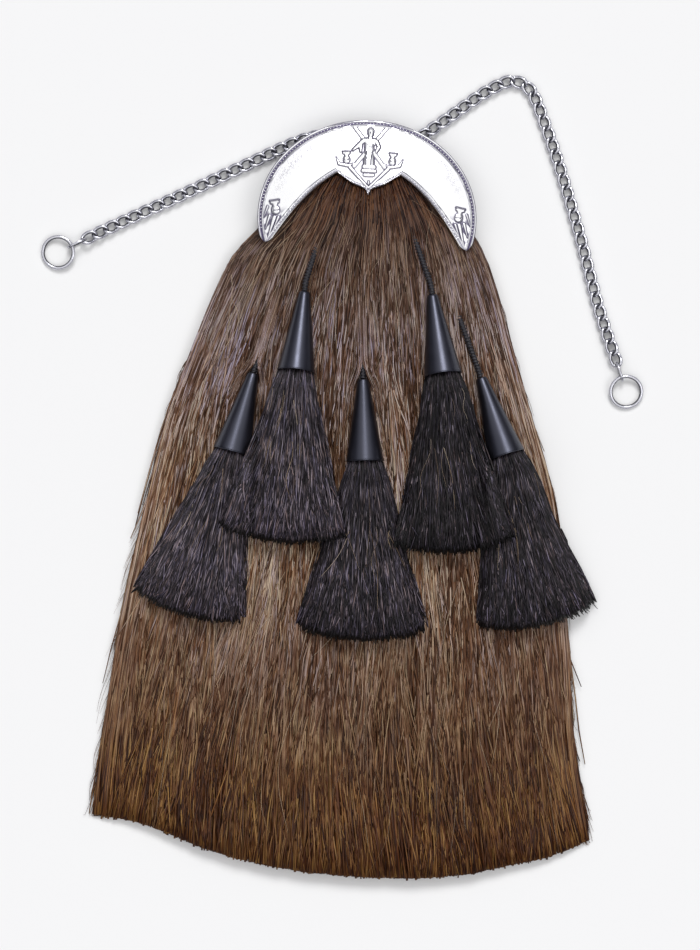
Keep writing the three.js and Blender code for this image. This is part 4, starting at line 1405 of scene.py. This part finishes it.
            # They bend outwards in a slight wave and sink towards the table.
            out = rng.uniform(0.15, 1, (count, 1)) ** 1.6 * reach * share**1.3
            x = x + side * out + np.sin(share * rng.uniform(2, 7, (count, 1))) * 1.4
            z = np.maximum(self.top(x, y) * (1 - 0.6 * share), LOWEST)
            pieces.append((np.stack([x, y, z], axis=-1), t, thick, rng.uniform(-0.95, 0.95, count)))
        for tassel in tassels:
            count = tassel.cover_count
            route = tassel.cord_route()
            spread = rng.normal(0, 1.0, (count, 1))
            first = rng.uniform(*self.cover_from, (count, 1))
            along = lerp(first, rng.uniform(*self.cover_to, (count, 1)), share)
            way = unit(tassel.base - tassel.tip)
            aside = np.array([-way[1], way[0]])
            # Hairs over the cord part round the cup below them.
            wide = tassel.tip_radius + 1.5 + np.maximum(along, 0) * 0.17
            off = spread * 2.4 + np.sign(spread) * wide * smoothstep(along, -12, 6)
            x = tassel.tip[0] + way[0] * along + aside[0] * off
            y = tassel.tip[1] + way[1] * along + aside[1] * off
            near = np.hypot(x[..., None] - route[:, 0], y[..., None] - route[:, 1])
            over = route[near.argmin(axis=-1), 2] + tassel.cord_radius + 0.5
            z = np.maximum(self.top(x, y) + 1.5, np.where(near.min(axis=-1) < 4, over, 0))
            down = (self.sections[0][0] - y) / self.run
            place = x[:, 0] / self.cover_front
            pieces.append((np.stack([x, y, z], axis=-1), down, self.cover_half, place))
        spine, along = (np.concatenate([p[k] for p in pieces]) for k in (0, 1))
        thick = np.concatenate([np.full(len(p[0]), p[2]) for p in pieces])[:, None]
        place = np.concatenate([p[3] for p in pieces])
        half = thick * rng.uniform(0.7, 1.2, thick.shape) * (1 - 0.6 * smoothstep(share, 0.7, 1))
        reach = np.full(len(spine), HAIR_U)
        return strands("hair_strays", spine, half, half * 1.2, self.shade(place, rng), reach, along)

    def build_pale(self, tassels: list["Tassel"]) -> Piece:
        """Single pale hairs that cross the front and the tassels in long arcs.

        Args:
            tassels: The tassels that some of them lie on.

        Returns:
            All pale hairs as one object.
        """
        rng, count, steps = self.rng, self.pale_count, 12
        share = np.linspace(0, 1, steps)[None]
        u, start = rng.uniform(-0.88, 0.88, count), rng.uniform(0.06, 0.86, count)
        # A third of them begin close under the metal top, where their pale colour stands in as painted
        # highlights on the hair.
        start = np.where(np.arange(count) % 3 == 0, rng.uniform(0.03, 0.12, count), start)
        stop = np.minimum(start + rng.uniform(0.08, 0.24, count), 0.995)
        t = lerp(start[:, None], stop[:, None], share)
        x, y = self.flow(np.broadcast_to(u[:, None], t.shape), t)
        # Each has its own slope, a bend and a fine wave.
        slope = np.clip(rng.normal(0, 9, (count, 1)), -24, 24)
        x = x + slope * (share - 0.5) + rng.normal(0, 22, (count, 1)) * (share - 0.5) ** 2
        x = x + np.sin(share * rng.uniform(3, 9, (count, 1)) + rng.uniform(0, 6, (count, 1))) * 1.2
        front = np.stack([x, y, self.top(x, y) + 1.8], axis=-1)
        spine = np.concatenate([front] + [tassel.loose_hairs(steps, rng) for tassel in tassels])
        count = len(spine)
        half = rng.uniform(0.08, 0.18, (count, 1)) * (1 - 0.5 * smoothstep(share, 0.7, 1))
        streak = rng.uniform(*ANY_STREAK, count)
        along = (self.sections[0][0] - spine[..., 1]) / self.run
        return strands("hair_pale_strays", spine, half, half * 1.2, streak, np.full(count, HAIR_U), along)


@dataclass
class Tassel:
    """One black horsehair tassel: metal cup, cord from under the cantle, and fanned hair."""

    name: str
    tip_xy: tuple[float, float]
    lean: float
    hair_lean: float
    length: float
    width: float
    cord_start: tuple[float, float]
    buried: float
    cover_count: int
    # Tone added to the hair's colour: painted light and shade, as if lit from the left.
    tone: float
    hair: HairFront
    below: list["Tassel"] = field(default_factory=list)
    seed: int = 0
    height: float = 56
    tip_radius: float = 3.8
    base_radius: float = 13
    mouth_radius: float = 11.5
    mouth_depth: float = 12
    clear: float = 0.7
    root: float = 7
    radius: float = 9.6
    puff: float = 2.4
    edge: float = 0.6
    thickness: float = 14
    sag: float = 9
    settle_run: float = 45
    cord_radius: float = 2.1
    cord_lead: float = 7
    cord_cover: float = 1.2
    rib_pitch: float = 2.2
    cord_step: float = 0.34
    cord_sides: int = 10
    # Strands of the fan: kind, count, share from the root, half width, share of it in height, width in U.
    kinds: tuple = (
        ("locks", 300, 0.45, (0.45, 0.9), 0.3, 2 * HAIR_U),
        ("hairs", 720, 0.2, (0.28, 0.46), 0.6, HAIR_U / 2),
    )
    steps: int = 8  # points on each strand
    upper_share: float = 0.78  # of the strands that lie on the fan's upper side
    ragged: float = 0.8  # spread of the cut ends
    pale_count: int = 7
    end_drop: float = 3.0
    end_run: float = 3
    core_grid: tuple[int, int] = (26, 21)
    cup_sides: int = 56
    cup_rings: tuple = (1.6, 9, 18, 27, 36, 45, 50)  # places along the cup's cone
    smooth_deg: float = 35

    def __post_init__(self) -> None:
        """Lays the cup on the hair: the tip rests on it, and the base is as low as the hair allows."""
        way = self.down(np.array(self.lean))
        tip = np.array([*self.tip_xy, 0.0])
        tip[2] = float(self.hair.top(tip[0], tip[1])) + self.tip_radius + self.clear
        base_z = 0.0
        for share in (0.25, 0.5, 0.75, 1):
            spot = tip[:2] + way * self.height * share
            radius = lerp(self.tip_radius, self.base_radius, share)
            needed = float(self.hair.top(*spot)) + radius + self.clear
            base_z = max(base_z, tip[2] + (needed - tip[2]) / share)
        run = math.sqrt(self.height**2 - (base_z - tip[2]) ** 2)
        self.tip = tip
        self.base = np.array([*(tip[:2] + way * run), base_z])

    @staticmethod
    def down(lean_deg: Array) -> Array:
        """Direction straight down the front, turned by an angle."""
        lean = np.radians(lean_deg)
        return np.stack([np.sin(lean), -np.cos(lean)], axis=-1)

    def support(self, x: Array, y: Array) -> Array:
        """Height of what the fan lies on: the hair, and any tassels below within a small reach."""
        high = self.hair.top(x, y)
        for lower in self.below:
            for step_x in (-5, 0, 5):
                for step_y in (-5, 0, 5):
                    high = np.maximum(high, lower.fan_top(x + step_x, y + step_y))
        return high

    def fan_top(self, x: Array, y: Array) -> Array:
        """Top of this tassel's hair at x and y, and far below where it isn't."""
        way = self.down(np.array(self.hair_lean))
        dx, dy = x - self.base[0], y - self.base[1]
        along = dx * way[0] + dy * way[1]
        half = lerp(self.radius, self.width / 2, along / self.length)
        across = (dy * way[0] - dx * way[1]) / half
        inside = (along >= 0) & (along <= self.length) & (np.abs(across) <= 1)
        spot = self.point(np.clip(along, 0, self.length), np.clip(across, -1, 1), 1.0)
        return np.where(inside, spot[..., 2], -1e3)

    def point(self, along: Array, across: Array, level: Any) -> Array:
        """Place in the tassel's hair.

        Args:
            along: Distance below the cup's mouth.
            across: Share across the fan, from -1 to 1.
            level: 0 on the underside, 1 on the upper side.

        Returns:
            Points in the row frame.
        """
        way = self.down(lerp(self.lean, self.hair_lean, smoothstep(along, 0, self.settle_run)))
        half = lerp(self.radius, self.width / 2, np.maximum(along, 0) / self.length)
        half = half + self.puff * smoothstep(along, -2, 6)
        x = self.base[0] + way[..., 0] * along - way[..., 1] * half * across
        y = self.base[1] + way[..., 1] * along + way[..., 0] * half * across
        bulge = np.sqrt(np.clip(1 - np.abs(across) ** 3, 0, 1))
        slope = (self.base[2] - self.tip[2]) / self.height
        middle = self.base[2] + slope * np.minimum(along, 0)
        low = self.support(x, y) + self.clear + (1.2 if self.below else 0)
        settled = smoothstep(along, 2, self.settle_run)
        lying = low + self.thickness * bulge + 2 * self.edge
        upper = lerp(middle + self.radius * bulge + self.edge, lying, settled)
        under = lerp(middle - self.radius * bulge - self.edge, low, settled)
        return np.stack([x, y, lerp(under, upper, level)], axis=-1)

    def build(self) -> None:
        """Models and dresses cord, cup and hair."""
        self.build_cord()
        settle(self.build_cup(), Finish.CUP.value.material(), "black_cup", f"tassel_cone_{self.name}")
        hair = self.build_hair()
        # The tone shift paints light from the left onto the tassel's hair.
        finish = replace(Finish.BLACK_HAIR.value, shift=self.tone)
        settle(hair, finish.material(), "black_horsehair", f"tassel_hair_{self.name}")

    def loose_hairs(self, steps: int, rng: Draws) -> Array:
        """Centre lines of a few pale hairs that lie on the tassel.

        Args:
            steps: Points on each hair.
            rng: Source of their places.

        Returns:
            Points of every hair.
        """
        count, share = self.pale_count, np.linspace(0, 1, steps)[None]
        start = rng.uniform(0.08, 0.45, (count, 1))
        along = lerp(start, start + rng.uniform(0.2, 0.45, (count, 1)), share) * self.length
        across = rng.uniform(-0.8, 0.8, (count, 1)) + rng.normal(0, 0.25, (count, 1)) * (share - 0.5)
        across = across + np.sin(share * rng.uniform(3, 9, (count, 1))) * 0.06
        spine = self.point(along, np.clip(across, -0.95, 0.95), 1.0)
        spine[..., 2] += 1.0
        return spine

    def cord_route(self) -> Array:
        """Centre line of the cord: buried in the hair first, then lying on it up to the cup."""
        back = unit(self.tip - self.base)
        lead = self.tip + back * self.cord_lead
        points = []
        for share in (0, 0.2, 0.4, 0.6, 0.8):
            x, y = lerp(self.cord_start[0], lead[0], share), lerp(self.cord_start[1], lead[1], share)
            skin = float(self.hair.top(x, y))
            deep, free = skin - self.cord_radius - self.cord_cover, skin + self.cord_radius + self.clear
            risen = float(smoothstep(share, self.buried - 0.25, self.buried))
            points.append((x, y, lerp(deep, free, risen)))
        points += [tuple(lead), tuple(self.tip + back * self.clear)]
        length = float(np.linalg.norm(np.diff(catmull_rom(points, 400), axis=0), axis=1).sum())
        return catmull_rom(points, int(length / self.cord_step))

    def build_cord(self) -> None:
        """Wrapped cord with fine spiral ribs."""
        centres = self.cord_route()
        length = float(np.linalg.norm(np.diff(centres, axis=0), axis=1).sum())
        run = np.linspace(0, length, len(centres))[:, None]
        angle = np.linspace(0, 1, self.cord_sides, endpoint=False)[None]
        ribs = np.cos(2 * math.pi * (run / self.rib_pitch + angle))
        corners = tube_points(centres, self.cord_radius * (0.86 + 0.24 * ribs))
        made = capped_tube(f"cord_{self.name}", corners, self.cord_sides)
        settle(made, Finish.CORD.value.material(), "black_cord", f"tassel_cord_{self.name}")

    def build_cup(self) -> Piece:
        """Turned metal cup: rounded tip, long cone, fine line above the rim, hollow mouth.

        Returns:
            The cup, in place.
        """
        tip, base, high = self.tip_radius, self.base_radius, self.height
        slope = (base - tip) / high
        body = (*self.cup_rings, high - 1.4, high - 1.1)
        profile = [(tip - 0.9, 0.0), (tip - 0.3, 0.15), (tip, 0.7)]
        profile += [(tip + slope * along, along) for along in body]
        profile += [(base - 0.3, high - 0.9), (base - 0.05, high - 0.7), (base, high - 0.4)]
        profile += [(base - 0.25, high - 0.1), (base - 0.6, high), (self.mouth_radius, high - 0.2)]
        profile += [(self.mouth_radius - 2.4, high - self.mouth_depth)]
        bpy.ops.object.select_all(action="DESELECT")
        start, first = profile[0]
        bpy.ops.mesh.primitive_circle_add(
            vertices=self.cup_sides, radius=start * MM, fill_type="NGON", location=(0, 0, first * MM)
        )
        made = bpy.context.active_object
        with editing():
            for (wide, here), (next_wide, there) in zip(profile, profile[1:]):
                bpy.ops.mesh.extrude_region_move(TRANSFORM_OT_translate={"value": (0, 0, 0)})
                bpy.ops.transform.translate(value=(0, 0, (there - here) * MM))
                bpy.ops.transform.resize(value=(next_wide / wide, next_wide / wide, 1))
            bpy.ops.mesh.select_all(action="SELECT")
            bpy.ops.mesh.normals_make_consistent(inside=False)
        made.name = made.data.name = f"tassel_cup_{self.name}"
        made.data.transform(Matrix.Translation(made.location))
        made.location = (0, 0, 0)
        turn = Vector((0, 0, 1)).rotation_difference(Vector(unit(self.base - self.tip)))
        made.data.transform(Matrix.Translation(Vector(self.tip * MM)) @ turn.to_matrix().to_4x4())
        only(made)
        bpy.ops.object.shade_smooth_by_angle(angle=math.radians(self.smooth_deg))
        return made

    def build_hair(self) -> Piece:
        """Fanned black hair: a core, locks over it and single hairs.

        Returns:
            The tassel's hair as one object.
        """
        rng = np.random.default_rng(SEED + 10 + self.seed)
        pieces = [self.build_core()]
        # Points crowd at the end, where the hair turns down.
        share = np.linspace(0, 1, self.steps)[None]
        share = np.where(share < 0.99, share * 0.97 / share[0, -2], 1.0)
        for kind, count, from_root, thick, ridge, width in self.kinds:
            across = rng.uniform(-1.0, 1.0, count)
            upper = rng.random(count) < self.upper_share
            level = np.where(upper, rng.uniform(0.92, 1.04, count), rng.uniform(0.02, 0.9, count))
            rooted = rng.random(count) < from_root
            start = np.where(rooted, -self.root + 1, rng.uniform(0, 0.75, count) * self.length)
            start = np.where(upper, start, np.maximum(start, rng.uniform(0.4, 0.7, count) * self.length))
            stop = self.length - self.sag * across**2 + rng.normal(0, self.ragged, count)
            # The hairs below reach a little further, and their ends take the dark last lengthwise colour, a
            # painted shadow.
            stop = stop + np.where(upper, 0, rng.uniform(0.5, 2.5, count))
            along = lerp(start[:, None], stop[:, None], share)
            phase, pace = rng.uniform(0, 6.3, (count, 1)), rng.uniform(3, 9, (count, 1))
            sideways = across[:, None] + np.sin(share * pace + phase) * rng.uniform(0.0, 0.09, (count, 1))
            sideways = sideways + rng.normal(0, 0.16, (count, 1)) * (share - 0.4)
            spine = self.point(along, np.clip(sideways, -1.06, 1.06), level[:, None])
            spine[..., 2] += np.sin(share * pace * 1.7 + phase) * 0.5
            turned = smoothstep(along - stop[:, None], -self.end_run, 0)
            spine[..., 2] -= self.end_drop * level[:, None] * turned
            spine[..., 2] = np.maximum(spine[..., 2], LOWEST)
            close = 1 - 0.4 * smoothstep(share, 0.9, 1)
            half = rng.uniform(*thick, (count, 1)) * close
            half = half * lerp(0.7, 1.0, smoothstep(along / self.length, 0, 0.6))
            # Painted shadow: the lower hairs' V runs on into the dark end of the lengthwise colours.
            into_painted_shadow = np.where(upper, 1.0, 1.02)[:, None]
            v = np.clip((along + self.root) / (stop[:, None] + self.root) * into_painted_shadow, 0, 1)
            streak, reach = rng.uniform(*ANY_STREAK, count), np.full(count, width)
            pieces.append(strands(kind, spine, half, half * ridge, streak, reach, v))
        return joined(f"tassel_fan_{self.name}", pieces)

    def build_core(self) -> Piece:
        """Closed fan under the strands.

        Returns:
            The core.
        """
        rows, columns = self.core_grid
        share = np.linspace(0, 0.985, rows)[:, None]
        across = np.linspace(-0.98, 0.98, columns)[None]
        share, across = np.broadcast_arrays(share, across)
        along = lerp(-self.root, self.length, share) - self.sag * across**2 * share**2
        over, under = self.point(along, across, 0.9), self.point(along, across, 0.04)
        return closed_mat("core", over, under, np.linspace(0.2, 0.7, columns), share[:, 0])


@dataclass
class Chain:
    """Curb chain of twisted oval links along the table, with jump rings and end rings."""

    pitch: float = 8.5
    half_length: float = 5.3
    half_width: float = 3.5
    wire: float = 2.6
    twist: float = 1.3
    runs: tuple = (("chain_left", 0.27), ("chain_behind", 0.5), ("chain_rise", 0.7), ("chain_fall", 1.0))
    jump: tuple = (6.6, 3.8, 1.6, 4.0)  # half length, half width, wire and distance from the last link
    ring: tuple = (10.7, 2.6, 3.9)  # radius, wire and distance from the jump ring
    # Corners round a ring and round its wire: link, jump ring and end ring.
    link_mesh: tuple[int, int] = (22, 8)
    jump_mesh: tuple[int, int] = (36, 12)
    ring_mesh: tuple[int, int] = (48, 14)
    route: tuple = (
        (-191, 23, 4.1),
        (-172, 32, 2.5),
        (-128, 52, 2.5),
        (-84, 72.5, 2.5),
        (-46, 89.5, 2.8),
        (-33, 92.5, 4.3),
        (-17.6, 90, 4.5),
        (22.3, 88.2, 4.5),
        (33, 90, 4.3),
        (50, 101, 2.6),
        (86, 125.5, 2.5),
        (100, 130.5, 2.5),
        (111, 126, 2.5),
        (124, 97, 2.5),
        (144.5, 31.5, 2.5),
        (160, -27, 2.5),
        (171, -60.5, 4.1),
    )

    @staticmethod
    def wire_ring(
        name: str, halves: tuple[float, float], wire: float, twist: float, corners: tuple[int, int]
    ) -> Piece:
        """Bends a torus into an oval wire ring whose quarters rise and fall in turn.

        Args:
            name: Name of the piece.
            halves: Half length and half width of the wire's centre line.
            wire: Wire diameter.
            twist: Rise of the quarters.
            corners: Corners round the ring and round the wire.

        Returns:
            The ring, along X at the origin.
        """
        half_length, half_width = halves
        bpy.ops.object.select_all(action="DESELECT")
        bpy.ops.mesh.primitive_torus_add(
            major_radius=1.0, minor_radius=0.25, major_segments=corners[0], minor_segments=corners[1]
        )
        made = bpy.context.active_object
        made.name = made.data.name = name
        flat = corner_places(made)
        theta = np.arctan2(flat[:, 1], flat[:, 0])
        turn = np.arctan2(flat[:, 2], np.hypot(flat[:, 0], flat[:, 1]) - 1)
        cos, sin = np.cos(theta), np.sin(theta)
        centre = np.stack([half_length * cos, half_width * sin, twist * np.sin(2 * theta)], axis=1)
        way = unit(np.stack([-half_length * sin, half_width * cos, 2 * twist * np.cos(2 * theta)], axis=1))
        outward = unit(np.cross(way, np.array([0.0, 0.0, 1.0])))
        upward = np.cross(outward, way)
        around = outward * np.cos(turn)[:, None] + upward * np.sin(turn)[:, None]
        # Painted shade: the wire is darker on its inner and lower side, so the holes between the links read
        # dark.
        recess = smoothstep(-np.cos(turn) - 0.5 * np.sin(turn), -0.5, 0.7)
        shape_plated(made, centre + around * wire / 2, recess)
        only(made)
        bpy.ops.object.shade_smooth()
        return made

    @staticmethod
    def frame_at(spot: Array, way: Array) -> Matrix:
        """Frame at a spot with X along a direction and Z as near upright as that allows."""
        x = Vector(unit(way))
        y = Vector((0, 0, 1)).cross(x).normalized()
        z = x.cross(y)
        turn = Matrix((x, y, z)).transposed().to_4x4()
        return Matrix.Translation(Vector(spot * MM)) @ turn

    def frames(self) -> tuple[list[Matrix], Array, Array]:
        """Frames of all links, their places and directions."""
        line = catmull_rom(list(self.route), 4000)
        length = np.linalg.norm(np.diff(line, axis=0), axis=1).sum()
        count = round(length / self.pitch)
        index = np.round(np.linspace(0, len(line) - 1, count + 1)).astype(int)
        ways = unit(np.gradient(line, axis=0))[index]
        spots = line[index]
        return [self.frame_at(s, w) for s, w in zip(spots, ways)], spots, ways

    def build(self) -> None:
        """Models and dresses the links and rings."""
        material = Finish.CHAIN.value.material()
        frames, spots, ways = self.frames()
        halves = (self.half_length, self.half_width)
        link = self.wire_ring("link", halves, self.wire, self.twist, self.link_mesh)
        first = 0
        for name, until in self.runs:
            last = round(until * (len(frames) - 1))
            copies = [copy_at(link, place) for place in frames[first : last + 1]]
            settle(joined(f"links_{name[6:]}", copies), material, "chromed_metal", name)
            first = last + 1
        bpy.data.objects.remove(link)
        for name, end, side in (("left", 0, -1), ("right", -1, 1)):
            self.build_end(name, spots[end], ways[end] * side, material)

    def build_end(self, name: str, spot: Array, way: Array, material: bpy.types.Material) -> None:
        """Jump ring on edge through the last link, and the end ring tilted up to it.

        Args:
            name: Side of the chain, left or right.
            spot: Centre of the last link.
            way: Direction out of the chain there.
            material: The chain's finish.
        """
        way = unit(np.array([way[0], way[1], 0.0]))
        half_length, half_width, wire, reach = self.jump
        centre = spot + way * (self.half_length + reach)
        centre[2] = half_width + wire / 2
        halves = (half_length, half_width)
        jump = self.wire_ring(f"chain_jump_ring_{name}", halves, wire, 0, self.jump_mesh)
        jump.data.transform(self.frame_at(centre, way) @ Matrix.Rotation(math.pi / 2, 4, "X"))
        settle(jump, material, "chromed_metal", f"jump_ring_{name}")
        radius, wire, reach = self.ring
        low = wire / 2
        tilt = math.asin((centre[2] - low) / (2 * radius))
        middle = centre + way * (reach + radius * math.cos(tilt))
        middle[2] = (centre[2] + low) / 2
        ring = self.wire_ring(f"chain_end_ring_{name}", (radius, radius), wire, 0, self.ring_mesh)
        ring.data.transform(self.frame_at(middle, way) @ Matrix.Rotation(tilt, 4, "Y"))
        settle(ring, material, "chromed_metal", f"end_ring_{name}")


@dataclass
class Studio:
    """Pale floor, soft light from above and the top of the picture, and a camera straight above."""

    centre: tuple[float, float] = (-11.6, -140.4)
    view_height: float = 650.75
    view_level: float = 15
    camera_height: float = 2600
    sensor: float = 36.0
    floor_size: float = 12000
    floor_drop: float = 0.2
    # Lights: name, direction from the object, angle that they span in degrees, and strength.
    lights: tuple = (("key", (0.06, 0.65, 0.75), 22, 1.5), ("fill", (0.55, -0.25, 0.8), 28, 0.32))
    # The sky's colours by the height of a direction.
    sky: tuple = ((0.0, "#46464e"), (0.4, "#66666f"), (0.6, "#c8c8ce"), (0.7, "#ffffff"))

    def build_camera(self) -> None:
        """Sets the camera."""
        data = bpy.data.cameras.new("camera")
        data.sensor_width = self.sensor
        data.lens = self.sensor * (self.camera_height - self.view_level) / self.view_height
        data.clip_end = 20
        camera = bpy.data.objects.new("camera", data)
        camera.location = (self.centre[0] * MM, self.centre[1] * MM, self.camera_height * MM)
        bpy.context.collection.objects.link(camera)
        bpy.context.scene.camera = camera

    def build(self) -> None:
        """Makes floor, world and lights."""
        bpy.ops.object.select_all(action="DESELECT")
        bpy.ops.mesh.primitive_plane_add(size=self.floor_size * MM, location=(0, 0, -self.floor_drop * MM))
        floor = bpy.context.active_object
        floor.name = "floor"
        material, tree, shader = new_material("floor_matt_paper")
        set_inputs(tree, shader, {"Base Color": linear("#e8e8e8"), "Roughness": 0.9})
        floor.data.materials.append(material)
        world = bpy.data.worlds.new("studio")
        world.use_nodes = True
        bpy.context.scene.world = world
        tree = world.node_tree
        way = add_node(tree, "ShaderNodeTexCoord").outputs["Generated"]
        up = add_node(tree, "ShaderNodeSeparateXYZ", {0: way}).outputs[2]
        sky = add_node(tree, "ShaderNodeValToRGB", {0: up}, stops=self.sky).outputs[0]
        set_inputs(tree, tree.nodes["Background"], {"Color": sky, "Strength": 1.0})
        for name, towards, spread, power in self.lights:
            self.add_light(name, towards, spread, power)
        settings = bpy.context.scene.view_settings
        settings.view_transform = "Standard"
        settings.look = "None"

    @staticmethod
    def add_light(name: str, towards: tuple[float, float, float], spread: float, power: float) -> None:
        """Adds an even soft light from far away.

        Args:
            name: Name of the light.
            towards: Direction from the object to the light.
            spread: Angle that the light spans, in degrees.
            power: Strength.
        """
        data = bpy.data.lights.new(name, "SUN")
        data.angle = math.radians(spread)
        data.energy = power
        light = bpy.data.objects.new(name, data)
        light.rotation_euler = (-Vector(towards)).to_track_quat("-Z", "Y").to_euler()
        bpy.context.collection.objects.link(light)


def build_tassels(hair: HairFront) -> list[Tassel]:
    """Lays out the five tassels: three on the hair and two over them.

    Args:
        hair: The horsehair front that they lie on.

    Returns:
        The tassels from the lowest to the highest.
    """
    # Name, cup's tip, lean of cup and of hair, hair's length and width, cord's start, share of the cord that
    # is buried, hairs over the cord and tone, which is painted light and shade: higher on the left, lower on
    # the right.
    rows = (
        ("outer_left", (-77.5, -71), -15.5, -15.9, 115, 75, (-33, 48), 1.05, 110, 0.012),
        ("outer_right", (78, -74), 18, 11, 118, 79, (34, 46), 0.8, 0, -0.055),
        ("middle", (-2.7, -75.4), 1.3, -1, 121, 86, (0, 40), 0.95, 70, -0.03),
        ("left", (-42.5, -15.8), -6, -5.2, 115, 81, (-22, 58), 0.75, 0, 0.024),
        ("right", (44.5, -17.8), 7.5, 4.1, 120, 77, (20, 57), 0.7, 0, -0.085),
    )
    made: list[Tassel] = []
    for i, row in enumerate(rows):
        made.append(Tassel(*row, hair=hair, below=made[:3] if i >= 3 else [], seed=i))
    return made


def main() -> None:
    """Builds the object and its studio."""
    logging.basicConfig(level=logging.INFO, format="%(name)s %(message)s")
    studio, cantle, pouch = Studio(), Cantle(), Pouch()
    studio.build_camera()
    hair = HairFront(cantle, pouch)
    tassels = build_tassels(hair)
    for tassel in tassels:
        tassel.build()
    hair.build(tassels)
    cantle.build()
    Chain().build()
    pouch.build()
    studio.build()


if __name__ == "__main__":
    main()
